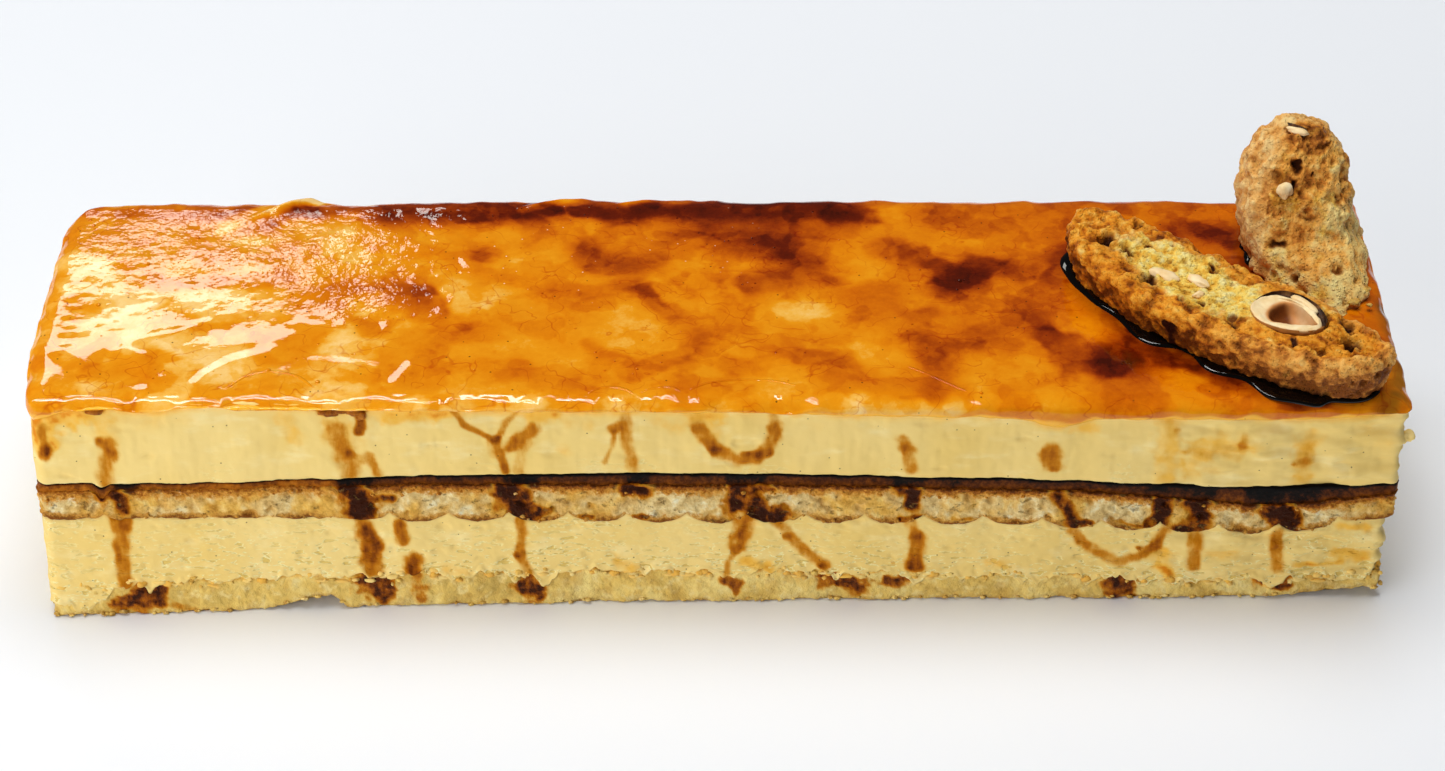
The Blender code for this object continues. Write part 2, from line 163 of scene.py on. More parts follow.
NUT_PROFILE = [  # half length, half width, shift along and across, height over the cut face, skin, brown
    (4.0, 3.4, 0, 0, -6.4, 1, 0), (7.0, 5.9, 0, 0, -5.0, 1, 0), (8.2, 6.9, 0, 0, -2.6, 1, 0),
    (8.5, 7.1, 0, 0, -0.8, 1, 0), (8.5, 7.1, 0, 0, -0.1, 1, 0), (8.45, 7.05, 0, 0, 0.1, 1, 0),
    (8.4, 7.0, 0, -0.05, 0.1, 1, 0), (8.35, 6.7, -0.05, -0.3, -0.4, 1, 0),
    (8.3, 6.1, -0.1, -0.85, -0.6, 1, 0), (8.25, 5.85, -0.15, -1.1, 0.0, 0.6, 0),
    (8.1, 5.7, -0.15, -1.15, 0.2, 0, 0.15), (7.6, 5.3, -0.1, -1.15, 0.3, 0, 0),
    (7.2, 4.7, 0.2, -1.0, 0.25, 0, 0), (6.5, 4.1, 1.2, -0.8, 0.1, 0, 0.1),
    (6.0, 3.6, 1.6, -0.7, 0.0, 0, 0.6), (5.8, 3.3, 1.9, -0.6, -0.9, 0, 1.0),
    (5.4, 2.9, 1.9, -0.6, -2.2, 0, 1.1), (4.2, 2.1, 1.7, -0.5, -3.0, 0, 1.2),
    (2.2, 1.1, 1.4, -0.5, -3.4, 0, 1.2), (0, 0, 1.0, -0.5, -3.6, 0, 1.2),
]
SECOND_PIECE = ((-3.6, 5.6), (-0.8, 5.65), (2.0, 4.8), (4.6, 3.2))  # the sliver of kernel beside the hollow
STANDING_SECTIONS = [  # height, then the lowest and highest x and y of the section
    (0.0, 122.8, 147.6, 4.2, 34.6),
    (1.6, 121.6, 148.4, 3.8, 35.4),
    (8.0, 120.6, 146.6, 6.4, 35.6),
    (15.0, 120.4, 145.2, 10.0, 34.8),
    (22.0, 121.6, 143.4, 14.0, 33.2),
    (26.6, 124.2, 141.0, 17.2, 31.2),
    (29.4, 126.8, 137.8, 19.8, 29.4),
    (30.8, 129.4, 135.0, 22.4, 27.2),
]
STANDING_SQUARENESS = 3.0
FLARE_FRONT, FLARE_RIGHT, FLARE_HEIGHT = 15.0, 1.5, 10

FOOT_INSET = 2.2
POOL_REACH, SEEP_REACH, POOL_FADE = 5.4, 2.2, 1.2
PUDDLE_PROFILE = [  # share of the reach, share of the height
    (-1.5, 1.0), (0.0, 1.0), (0.3, 0.9), (0.6, 0.68), (0.85, 0.36), (0.97, 0.1), (1.0, -0.25),
]
STANDING_FOOT = (135.2, 19.4, 12.4, 15.2)  # centre x and y, half length and half depth
SYRUP_REACHES = [  # how full, from and to along the lying biscuit, fade, how far across
    (0.72, -60, -26, 4, 8), (0.55, -26, -3, 3, 0), (0.55, 4, 18, 3, 0), (1.0, 19, 34, 3, 0),
    (0.25, 31, 60, 5, 3),
]
TONE_SLOPES = [  # how much darker, then where it rises from nothing to full: along x or y, from, to
    (0.10, ("x", -95, -25)), (0.11, ("x", 20, 70), ("y", -30, -10)), (0.05, ("x", 20, 70)),
    (-0.05, ("y", -27, -35)), (-0.04, ("y", -33, -39)), (0.09, ("x", -50, -30), ("x", 40, 20), ("y", -8, 6)),
    (0.10, ("x", 80, 90), ("y", -5, -15)), (0.17, ("y", 27, 33), ("x", -140, -120), ("x", 44, 32)),
]
GROUND_TONE, BURNT_TONE, PALE_TONE = 0.27, 0.36, 0.26

FLAKES, JOINT_CRUMBS, FOOT_CRUMBS, SPONGE_CRUMBS, RUBBLE, FINE_BUBBLES = 150, 150, 200, 260, 40, 260
END_FLAKE = (151.3, -39.0, 45.2)

# ---------------------------------------------------------------- where the coffee and the caramel ran
# Each stain is a path, its half width and its strength. In front a path is (x, height), on the glaze (x, y).
UPPER_STAINS = [  # coffee that ran down the upper mousse in front: path of (x, z), half width, strength
    ([(-146.7, 49.4), (-147.2, 47.4), (-147.0, 44.7)], 0.8, 0.6),
    ([(-146.9, 42.6)], 1.2, 0.9),
    ([(-136.5, 54.4), (-134.0, 54.0)], 1.0, 0.85),
    ([(-134.9, 45.0), (-132.4, 42.4)], 0.9, 0.6),
    ([(-132.9, 44.7), (-133.8, 40.6), (-134.3, 37.7), (-134.1, 35.0)], 1.4, 0.55),
    ([(-85.4, 54.0), (-81.4, 54.6), (-76.9, 54.2)], 1.1, 1.0),
    ([(-78.2, 53.5), (-77.4, 50.5), (-78.0, 47.6)], 0.9, 0.9),
    ([(-82.7, 48.7), (-81.7, 44.5), (-81.0, 40.3), (-80.4, 37.1)], 1.8, 0.6),
    ([(-80.3, 42.1)], 0.8, 0.85),
    ([(-76.2, 41.3), (-75.3, 39.0), (-74.4, 36.7)], 1.1, 0.55),
    ([(-57.4, 53.8), (-55.1, 49.9), (-51.2, 47.2), (-48.2, 45.6)], 0.6, 0.6),
    ([(-42.9, 53.6), (-45.6, 50.5), (-47.2, 47.2), (-48.2, 45.6)], 0.6, 0.55),
    ([(-48.2, 45.6), (-47.8, 43.2), (-46.9, 40.1), (-46.3, 37.0)], 0.7, 0.65),
    ([(-39.9, 48.4), (-42.7, 46.5), (-45.3, 43.5)], 1.1, 0.75),
    ([(-41.0, 45.6), (-42.8, 41.9), (-43.5, 37.0)], 1.0, 0.4),
    ([(-49.8, 45.0), (-48.9, 41.3)], 0.6, 0.35),
    ([(-22.8, 48.8), (-21.1, 49.2)], 0.9, 0.7),
    ([(-22.1, 48.1), (-22.7, 43.7), (-24.5, 39.4)], 0.5, 0.5),
    ([(-19.5, 53.0), (-19.6, 48.1), (-19.2, 43.1), (-18.2, 37.8)], 1.0, 0.5),
    ([(-4.5, 53.6), (-4.1, 48.7)], 1.3, 0.35),
    ([(-3.5, 48.4), (-1.5, 44.9), (1.0, 41.8), (5.0, 39.9), (9.1, 41.2), (11.6, 43.7), (13.0, 48.1)],
     1.3, 0.65),
    ([(12.8, 48.1), (12.5, 52.4)], 1.0, 0.35),
    ([(0.1, 42.8)], 1.0, 0.85),
    ([(6.0, 41.8), (8.8, 41.8), (11.7, 42.3)], 0.7, 0.75),
    ([(40.7, 45.9), (41.5, 43.7)], 1.3, 0.5),
    ([(41.5, 43.7), (42.6, 39.9), (42.9, 37.5)], 1.0, 0.55),
    ([(73.5, 41.8), (73.7, 38.9)], 1.5, 0.5),
    ([(73.5, 42.4), (74.0, 38.9)], 1.7, 0.5),
    ([(98.6, 50.1), (99.1, 43.1), (99.7, 35.7)], 1.9, 0.2),
    ([(100.7, 48.5)], 0.7, 0.45),
    ([(103.7, 43.0), (109.3, 42.5), (115.2, 43.7)], 1.3, 0.3),
    ([(105.5, 39.9), (109.7, 37.3)], 1.8, 0.25),
    ([(115.5, 47.5), (115.4, 44.4)], 0.7, 0.4),
    ([(129.4, 44.7), (129.4, 39.9)], 1.4, 0.32),
    ([(129.2, 39.2), (129.5, 34.7)], 1.3, 0.28),
    ([(127.0, 38.9)], 0.4, 0.5),
]
UPPER_AMBER = [  # caramel that tints the upper mousse
    ([(-149.0, 53.9), (-148.6, 50.0), (-148.4, 46.5)], 2.2, 1.3),
    ([(-146.8, 53.4), (-142.4, 52.4)], 2.2, 0.9),
    ([(-140.3, 53.4), (-137.0, 51.7)], 1.3, 0.45),
    ([(-134.2, 52.2), (-133.0, 46.5)], 1.7, 0.35),
    ([(-129.6, 51.1), (-114.5, 51.7)], 1.3, 0.18),
    ([(-94.1, 51.1), (-92.9, 46.3)], 1.7, 0.35),
    ([(-82.1, 49.9), (-80.5, 44.5)], 2.5, 0.4),
    ([(-75.5, 52.3), (-71.9, 52.9)], 1.5, 0.35),
    ([(-70.0, 51.7), (-58.4, 52.9)], 1.3, 0.7),
    ([(-56.4, 53.5), (-34.5, 53.0)], 0.8, 0.5),
    ([(-40.5, 51.1), (-34.5, 52.4)], 1.0, 0.4),
    ([(-33.3, 42.8)], 1.0, 0.35),
    ([(-32.3, 50.2), (-27.6, 49.6)], 0.9, 0.3),
    ([(-13.5, 50.5), (-8.1, 48.7)], 1.1, 0.3),
    ([(-5.5, 52.4), (0.9, 52.4)], 1.2, 0.45),
    ([(-3.5, 51.2), (-0.5, 47.4)], 1.2, 0.5),
    ([(13.5, 53.1), (17.5, 52.4)], 0.8, 0.3),
    ([(21.5, 49.3)], 1.2, 0.15),
    ([(79.6, 48.8), (82.4, 48.8)], 1.1, 0.5),
    ([(129.9, 51.4), (139.2, 53.4)], 0.7, 0.5),
    ([(140.8, 48.3), (146.2, 45.0)], 2.0, 0.2),
    ([(99.0, 51.0), (99.3, 43.0), (99.7, 35.0)], 1.7, 0.5),
    ([(105.5, 42.5), (104.5, 37.0)], 1.6, 0.4),
    ([(107.0, 43.5), (114.5, 44.0)], 2.0, 0.5),
    ([(129.4, 46.5), (129.3, 34.5)], 1.5, 0.5),
]
LOWER_AMBER = [  # yellow smears in the lower mousse
    ([(95.0, 13.4), (101.5, 12.6)], 1.2, 0.5),
    ([(100.2, 9.8), (102.4, 7.4)], 0.9, 1.0),
    ([(110.0, 12.8), (116.0, 13.2)], 1.0, 0.35),
    ([(130.6, 10.0), (136.0, 9.4), (141.0, 10.2)], 0.5, 0.8),
    ([(139.5, 21.4), (145.6, 20.4)], 0.8, 0.6),
    ([(139.0, 12.8), (146.0, 12.0)], 1.1, 0.6),
    ([(62.0, 11.4), (65.4, 9.6)], 0.9, 0.45),
    ([(-22.0, 11.2), (-17.6, 9.8)], 0.9, 0.5),
    ([(6.6, 11.6), (11.2, 9.6)], 1.0, 0.7),
    ([(-61.0, 10.6), (-56.0, 9.8)], 0.8, 0.4),
]
LADYFINGER_STAINS = [  # coffee stains on the ladyfinger sponge
    ([(-135.9, 33.9), (-135.9, 31.2)], 1.0, 1.0),
    ([(-133.0, 32.4), (-131.4, 30.6), (-130.9, 28.2)], 1.3, 0.75),
    ([(-81.4, 33.5), (-79.9, 29.8), (-78.5, 26.4)], 2.3, 0.85),
    ([(-78.2, 31.1), (-78.0, 26.1)], 1.7, 0.8),
    ([(-75.2, 30.4), (-71.7, 30.4)], 0.9, 0.65),
    ([(-46.2, 32.3), (-44.3, 28.2), (-42.4, 24.1)], 2.6, 0.95),
    ([(-39.8, 25.6), (-36.8, 26.2)], 0.8, 0.5),
    ([(-19.3, 32.4), (-15.8, 31.7)], 1.5, 0.85),
    ([(-18.2, 24.7), (-15.4, 24.5)], 0.6, 0.8),
    ([(-30.2, 24.7), (-27.6, 24.5)], 0.5, 0.6),
    ([(6.1, 32.3), (5.1, 29.1), (8.1, 26.5), (12.2, 23.9)], 3.0, 0.95),
    ([(11.1, 32.3), (12.7, 31.9)], 0.7, 0.5),
    ([(41.6, 31.9), (43.7, 30.2), (43.3, 27.6)], 1.7, 0.85),
    ([(41.4, 23.6), (46.0, 24.0)], 0.7, 0.85),
    ([(52.6, 23.8), (56.7, 23.8)], 0.4, 0.4),
    ([(75.7, 30.8), (78.1, 26.3), (79.8, 22.3)], 1.3, 0.8),
    ([(79.8, 22.3), (83.2, 22.3)], 0.7, 0.6),
    ([(98.8, 28.8), (99.1, 24.9), (97.3, 21.4)], 1.8, 0.9),
    ([(106.5, 27.5), (107.3, 24.2), (107.2, 20.1)], 2.2, 0.95),
    ([(103.0, 20.9), (105.6, 20.1)], 0.7, 0.8),
    ([(123.5, 26.1), (126.3, 23.4), (127.7, 20.4)], 2.5, 0.95),
    ([(129.3, 19.9), (133.9, 19.4), (138.9, 21.4)], 0.5, 0.7),
    ([(89.1, 22.3), (94.3, 21.3)], 0.4, 0.4),
]
LOWER_STAINS = [  # coffee that ran down the lower mousse
    ([(-132.5, 27.0), (-131.5, 24.6)], 1.5, 0.7),
    ([(-131.5, 24.6), (-132.4, 19.8), (-132.5, 13.8), (-132.2, 8.2)], 1.3, 0.68),
    ([(-133.8, 19.2), (-133.1, 15.0)], 0.5, 0.5),
    ([(-78.6, 25.2), (-78.1, 21.1), (-77.0, 17.3), (-76.5, 13.5)], 1.3, 0.7),
    ([(-76.3, 17.3)], 1.5, 0.9),
    ([(-78.3, 21.1), (-76.7, 17.3), (-78.3, 12.9), (-76.9, 10.4)], 1.5, 0.7),
    ([(-70.6, 23.2), (-70.5, 21.0), (-69.9, 18.5)], 1.0, 0.8),
    ([(-68.0, 13.0), (-67.9, 8.9)], 1.4, 0.9),
    ([(-43.4, 23.6), (-43.3, 19.9), (-43.9, 16.7), (-43.5, 12.9), (-42.2, 9.0)], 0.9, 0.62),
    ([(-44.7, 14.1)], 0.5, 1.0),
    ([(6.1, 23.6), (6.0, 20.0), (4.8, 16.8)], 1.7, 0.68),
    ([(6.0, 20.0)], 1.0, 0.4),
    ([(4.8, 15.4), (2.6, 11.5), (2.3, 6.2)], 0.6, 0.5),
    ([(13.3, 23.2), (15.9, 19.9), (18.5, 16.0), (21.6, 12.7), (24.5, 10.0)], 1.0, 0.62),
    ([(15.9, 18.6)], 0.6, 1.0),
    ([(23.5, 10.3)], 0.6, 0.9),
    ([(43.4, 22.4), (44.3, 19.1)], 1.1, 0.55),
    ([(44.9, 18.5), (45.2, 15.1), (44.1, 10.8)], 1.4, 0.72),
    ([(44.9, 18.1)], 0.8, 0.5),
    ([(45.2, 9.8)], 1.2, 1.0),
    ([(39.7, 10.8)], 0.4, 0.7),
    ([(79.5, 20.3), (82.3, 16.3), (86.1, 13.3), (90.4, 10.9), (94.9, 12.6), (98.4, 14.9), (100.0, 19.6)],
     1.0, 0.6),
    ([(94.8, 14.8)], 0.5, 1.0),
    ([(98.3, 15.6)], 1.2, 0.5),
    ([(106.8, 19.2), (107.6, 15.5), (107.6, 9.4)], 1.2, 0.58),
    ([(125.5, 19.4), (125.6, 15.4), (126.2, 9.3)], 1.1, 0.62),
    ([(125.6, 15.4)], 0.6, 0.4),
]
BASE_STAINS = [  # coffee stains on the base sponge
    ([(-132.6, 3.4), (-129.4, 4.8), (-125.6, 4.9)], 2.3, 1.0),
    ([(-123.7, 2.4), (-117.7, 0.9)], 0.7, 0.4),
    ([(-77.6, 7.8), (-76.3, 3.3)], 1.5, 0.7),
    ([(-78.0, 8.5), (-75.7, 4.6)], 2.5, 0.85),
    ([(-67.2, 7.6), (-66.4, 3.1)], 1.5, 0.55),
    ([(-43.1, 5.7), (-41.6, 4.4)], 2.2, 0.95),
    ([(2.5, 6.2), (4.6, 4.8)], 1.3, 0.75),
    ([(24.8, 6.6), (28.5, 5.3), (32.7, 3.2)], 1.8, 1.0),
    ([(38.9, 5.2), (41.9, 5.8)], 1.5, 0.75),
    ([(44.9, 9.1), (48.1, 7.8)], 1.0, 0.5),
    ([(90.3, 5.5), (91.3, 2.1)], 2.6, 1.0),
    ([(94.9, 5.4)], 1.3, 0.5),
    ([(107.3, 6.7), (110.9, 7.4)], 1.3, 0.75),
    ([(125.1, 5.5), (127.5, 4.5)], 2.1, 1.0),
]
BURNT = [  # burnt sugar in the glaze: path of (x, y), half width, strength
    ([(-147.5, 35.5), (-130.0, 36.2), (-112.2, 35.3)], 1.5, 0.4),
    ([(-102.1, 35.3), (-86.4, 36.5), (-66.2, 34.7)], 1.6, 0.85),
    ([(-76.7, 33.0), (-66.0, 31.8)], 2.4, 0.9),
    ([(-109.5, 28.4), (-104.5, 28.4)], 0.9, 0.5),
    ([(-148.3, 28.4), (-146.2, 35.3)], 1.5, 0.35),
    ([(-95.5, -20.3)], 4.4, 0.6),
    ([(-87.2, -1.4), (-80.4, 3.9)], 3.2, 0.42),
    ([(-72.2, 0.7), (-65.1, -5.7)], 3.2, 0.75),
    ([(-125.2, -24.4), (-121.7, -24.4)], 1.5, 0.5),
    ([(-118.5, 6.1), (-104.8, 3.9), (-100.2, 6.1)], 1.6, 0.5),
    ([(-136.3, -29.5), (-126.1, -30.5)], 2.0, 0.45),
    ([(-145.6, -7.8), (-140.8, -7.8)], 1.4, 0.3),
    ([(-77.7, -13.1)], 2.5, 0.5),
    ([(-63.9, -22.4)], 2.4, 0.45),
    ([(-134.7, 12.7), (-128.6, 8.3)], 0.9, 0.3),
    ([(-68.6, 34.7), (-55.9, 33.6), (-42.1, 35.3)], 3.1, 1.0),
    ([(-33.3, 34.7), (-23.2, 33.6)], 1.9, 0.85),
    ([(-19.4, 33.0), (-5.6, 33.6)], 2.1, 0.8),
    ([(-1.8, 35.3), (30.3, 36.5)], 2.5, 0.4),
    ([(3.7, 29.5), (11.2, 25.0), (17.4, 20.6)], 6.2, 0.65),
    ([(1.0, 22.0), (14.0, 19.5)], 3.6, 0.5),
    ([(-32.6, 16.0), (-22.6, 11.6), (-14.6, 12.7)], 2.2, 0.5),
    ([(-38.8, 0.7), (-26.6, 1.8), (-17.5, 3.9)], 1.6, 0.45),
    ([(8.1, 3.9), (15.4, 5.0)], 2.8, 0.72),
    ([(-15.6, -1.4), (-8.2, -11.0), (-1.6, -15.2)], 1.6, 0.5),
    ([(-1.6, -15.2), (-8.1, -24.4), (-18.0, -30.5)], 1.5, 0.5),
    ([(-26.6, -20.3), (-20.4, -29.5)], 1.8, 0.45),
    ([(-57.8, -15.2), (-49.5, -14.1)], 2.7, 0.45),
    ([(-50.5, -27.5), (-43.3, -29.5)], 2.0, 0.25),
    ([(1.9, -28.5), (5.5, -29.5)], 2.0, 0.35),
    ([(18.5, -25.4), (28.4, -24.4)], 2.0, 0.5),
    ([(-53.0, 16.0)], 2.4, 0.55),
    ([(-29.0, 18.2)], 2.0, 0.5),
    ([(-11.7, 23.9), (-4.3, 25.0)], 2.1, 0.5),
    ([(21.7, 12.7), (27.7, 8.3)], 2.0, 0.45),
    ([(29.1, 33.0), (34.7, 33.0)], 2.9, 0.8),
    ([(39.2, 18.2), (47.7, 14.9), (54.7, 8.3)], 2.2, 0.75),
    ([(55.8, 6.7)], 4.2, 1.0),
    ([(55.8, 6.9)], 2.0, 0.7),
    ([(60.4, 11.6), (70.0, 8.3)], 2.1, 0.5),
    ([(66.7, -3.6), (70.1, -6.8)], 1.8, 0.4),
    ([(48.6, 34.1), (61.9, 35.3)], 2.0, 0.2),
    ([(32.3, -2.5), (37.1, -2.5)], 3.6, 0.6),
    ([(44.2, -19.3), (46.4, -22.4)], 2.9, 0.7),
    ([(47.2, -30.5), (48.2, -34.5)], 2.6, 0.55),
    ([(54.9, -19.3), (62.5, -13.1), (68.6, -11.5), (72.9, -17.2)], 2.0, 0.35),
    ([(72.9, -17.2), (79.5, -24.4), (85.9, -25.4)], 2.5, 0.65),
    ([(87.0, -25.4)], 4.1, 0.95),
    ([(45.4, -7.8), (47.8, -7.8)], 1.8, 0.45),
    ([(70.9, -43.4), (74.3, -43.4)], 0.9, 0.6),
    ([(91.9, -18.3), (102.9, -26.5), (111.0, -32.0)], 2.3, 0.65),
    ([(81.8, 17.1), (77.9, 7.2)], 1.5, 0.4),
    ([(105.6, 25.0), (117.8, 28.4)], 2.4, 0.25),
    ([(119.5, 11.6)], 2.4, 0.45),
    ([(112.5, 27.3), (119.1, 22.9)], 2.2, 0.5),
    ([(108.5, -35.0), (121.6, -37.0), (131.0, -39.5)], 1.1, 0.5),
]
PALE = [  # clear patches where the mousse shows through the glaze
    ([(-143.0, 12.0), (-136.0, -4.0), (-126.0, -14.0)], 6.0, 0.45),
    ([(-46.0, -12.0), (-34.0, -24.0), (-14.0, -24.0)], 5.0, 0.22),
    ([(-12.0, -14.0)], 3.5, 0.2),
    ([(-116.0, -26.0), (-98.0, -22.0), (-84.0, -24.0)], 6.0, 0.55),
    ([(-140.1, -4.6), (-116.3, -1.4)], 7.7, 0.45),
    ([(-140.6, -20.3), (-113.9, -20.3)], 3.5, 0.35),
    ([(-89.5, 22.7), (-82.7, 16.0)], 2.9, 0.6),
    ([(-82.8, -16.2), (-81.4, -18.3)], 2.6, 0.7),
    ([(-78.5, -3.6)], 2.6, 0.6),
    ([(-112.6, -30.5), (-77.2, -32.5)], 2.4, 0.35),
    ([(-111.6, 30.7), (-102.5, 38.8), (-95.7, 41.1)], 1.8, 1.3),
    ([(-144.9, 38.8), (-138.5, 38.8)], 0.6, 0.6),
    ([(-46.6, 10.5), (-37.4, 11.6)], 4.7, 0.45),
    ([(-30.5, 26.1), (-22.9, 22.7)], 1.4, 0.5),
    ([(-13.9, 5.0), (-7.7, -0.4), (-2.3, -4.6)], 1.4, 0.55),
    ([(2.0, 14.9), (6.9, 12.7)], 4.1, 0.6),
    ([(17.0, -6.8), (22.4, -8.9)], 4.4, 0.75),
    ([(-23.3, -9.9), (-15.3, -16.2)], 4.2, 0.4),
    ([(-58.7, -0.4), (-53.2, -1.4)], 3.9, 0.8),
    ([(4.3, -20.3), (9.1, -20.3)], 2.9, 0.45),
    ([(-37.9, 38.8), (-35.4, 40.5)], 0.7, 0.8),
    ([(-20.8, 38.2), (-16.4, 39.4)], 0.7, 0.8),
    ([(-44.7, 35.3), (-38.5, 37.6)], 0.5, 0.6),
    ([(-63.1, -40.4), (-22.4, -41.4)], 0.8, 0.4),
    ([(41.7, 34.1)], 3.2, 0.4),
    ([(62.2, 19.4), (69.5, 18.2)], 2.6, 0.45),
    ([(30.9, 10.5), (35.1, 9.4)], 2.6, 0.5),
    ([(33.4, -22.4), (37.5, -23.4)], 2.9, 0.5),
    ([(81.5, -14.1), (86.9, -14.1)], 2.1, 0.5),
    ([(59.1, -28.5), (66.1, -29.5)], 4.1, 0.3),
    ([(30.4, -40.4), (50.7, -41.4)], 1.3, 0.75),
    ([(98.3, -41.4), (106.9, -42.4)], 1.3, 0.3),
]
OLIVE = [  # where coffee dulls the glaze
    ([(150.3, -4.2), (151.5, -14.2), (149.1, -32.7)], 1.7, 0.8),
    ([(141.4, -45.8), (147.7, -37.4)], 1.7, 0.8),
    ([(125.9, -46.7), (136.7, -47.7)], 0.9, 0.5),
]
SYRUP_BLACK = [  # from and to along the front, where the syrup lies black
    (-132, -128), (-83, -76), (-47, -39), (-20, -15), (2, 11), (39, 46), (95, 111), (117, 134),
]
ORANGE_CRUMBS = [-129, -123, -102, -63.5, -51, -23, -9, -3.7, -2.6, 18.6, 49, 83.4, 102.6]  # along the base
BUBBLES = [  # the larger ones
    (-145.7, 29.0), (-130.5, 12.1), (-101.7, 38.6), (-147.0, 31.6), (-87.1, -33.5), (-98.3, -29.5),
    (55.5, 5.2), (57.7, -38.0), (-139.5, -4.4), (-120.6, 23.5),
]

# ---------------------------------------------------------------- curves and random heights


def smooth(t):
    """Eases a value between 0 and 1, and holds it there outside them."""
    t = np.clip(t, 0.0, 1.0)
    return t * t * (3 - 2 * t)


def step(value, start, end):
    """0 up to the start and 1 from the end on, which may lie on either side of the start."""
    return smooth((value - start) / (end - start))


def shelf(value, low, high, fade):
    """1 between low and high, fading out at both."""
    return smooth((value - low) / fade + 0.5) * smooth((high - value) / fade + 0.5)


def round_angles(steps):
    return 2 * math.pi * np.arange(steps) / steps


def turned(along, across, turn, centre):
    """From along and across a piece that is turned about its centre to the cake's plan."""
    c, s = math.cos(turn), math.sin(turn)
    return centre[0] + c * along - s * across, centre[1] + s * along + c * across


def through(stations, x):
    """The height at x of the smooth curve through (x, height) stations."""
    places, heights = np.array(stations, float).T
    slopes = np.gradient(heights, places)
    slopes[1:-1] = (heights[2:] - heights[:-2]) / (places[2:] - places[:-2])
    x = np.clip(x, places[0], places[-1])
    i = np.clip(np.searchsorted(places, x) - 1, 0, len(places) - 2)
    span = places[i + 1] - places[i]
    t = (x - places[i]) / span
    return (
        heights[i] * (2 * t**3 - 3 * t**2 + 1)
        + slopes[i] * span * (t**3 - 2 * t**2 + t)
        + heights[i + 1] * (3 * t**2 - 2 * t**3)
        + slopes[i + 1] * span * (t**3 - t**2)
    )


def columns_through(rows, stations):
    """Every column of a table as a smooth curve, read at stations that count the rows."""
    return [through(list(enumerate(column)), stations) for column in zip(*rows)]


def spots(*axes):
    """Coordinates put together as points."""
    return np.stack(np.broadcast_arrays(*axes), axis=-1).astype(float)


def lumps(points, size, octaves=1):
    """Smooth random heights, about -1 to 1, in lumps about size across."""
    flat = (points.reshape(-1, 3) / size).tolist()
    if octaves == 1:
        heights = [noise.noise(place) for place in flat]
    else:
        heights = [noise.fractal(place, 1.0, 2.0, octaves) for place in flat]
    return np.array(heights).reshape(points.shape[:-1])


def holes(points, size, share):
    """How deep in a hole each point lies, 0 to 1, with a hole in that share of the cells of that size."""
    depths = []
    for place in (points.reshape(-1, 3) / size).tolist():
        distances, centres = noise.voronoi(place)
        chance = noise.cell(centres[0] * 9.7) % 1.0
        open_here = chance < share
        depths.append(max(0.0, 1 - distances[0] / (0.3 + 0.5 * chance / share)) if open_here else 0.0)
    return smooth(np.array(depths) * 1.6).reshape(points.shape[:-1])


def grains(points, size):
    """Rounded grains packed side by side, 1 at the middle of a grain and about -0.5 between them."""
    flat = (points.reshape(-1, 3) / size).tolist()
    return np.array([1 - 2 * noise.voronoi(place)[0][0] for place in flat]).reshape(points.shape[:-1])


def far_from(places_x, places_y, path):
    """How far each place is from a path of points."""
    nearest = np.full(np.shape(places_x), 1e9)
    legs = list(zip(path, path[1:])) or [(path[0], path[0])]
    for (ax, ay), (bx, by) in legs:
        length = (bx - ax) ** 2 + (by - ay) ** 2
        share = ((places_x - ax) * (bx - ax) + (places_y - ay) * (by - ay)) / length if length else 0.0
        share = np.clip(share, 0, 1)
        off_x, off_y = places_x - ax - share * (bx - ax), places_y - ay - share * (by - ay)
        nearest = np.minimum(nearest, np.hypot(off_x, off_y))
    return nearest


def stained(places_x, places_y, stains, ragged=0.35, soft=1.5, wide=1.3, waver=0.45):
    """How strongly each place is stained, with the stains' edges ragged and soft."""
    edge = ragged * lumps(spots(places_x, places_y, 3.0), 2.2, 3)
    width = wide * (1 + waver * lumps(spots(places_x, places_y, 6.0), 3.6))
    uneven = np.clip(1 + waver * lumps(spots(places_x, places_y, 9.0), 4.5, 2), 0.7, 1.25)
    clear = np.ones(np.shape(places_x))
    for path, half_width, force in stains:
        distance = far_from(places_x, places_y, path) / (width * half_width) + edge
        clear = clear * (1 - np.minimum(force * uneven, 1.0) * smooth((1 + soft / 2 - distance) / soft))
    return 1 - clear


# ---------------------------------------------------------------- the joints between the layers

VALLEYS = np.array(
    [-HALF_LENGTH - RIDGE_PITCH / 2, SHEET_JOINT]
    + [FIRST_VALLEY + RIDGE_PITCH * k for k in range(int((HALF_LENGTH - FIRST_VALLEY) / RIDGE_PITCH) + 1)]
    + [HALF_LENGTH + RIDGE_PITCH / 2]
)


def ridge_swell(x):
    """0 in the valleys between the piped ridges and 1 on top of them."""
    i = np.clip(np.searchsorted(VALLEYS, x, side="right") - 1, 0, len(VALLEYS) - 2)
    share = np.clip((x - VALLEYS[i]) / (VALLEYS[i + 1] - VALLEYS[i]), 0, 1)
    return np.sin(math.pi * share) ** 0.6


def sheet_joint(x):
    """How deep the joint of the two ladyfinger sheets is at x."""
    return 0.5 * SHEET_JOINT_DEPTH * smooth(1 - np.abs(x - SHEET_JOINT) / (0.8 * SHEET_JOINT_HALF))


def wobble(x, y, joint):
    """The small waver of a joint, the same for the layers above and below it."""
    row, size, height = JOINT_WAVERS[joint]
    return height * lumps(spots(x, y, row * 31.0), size, 3)


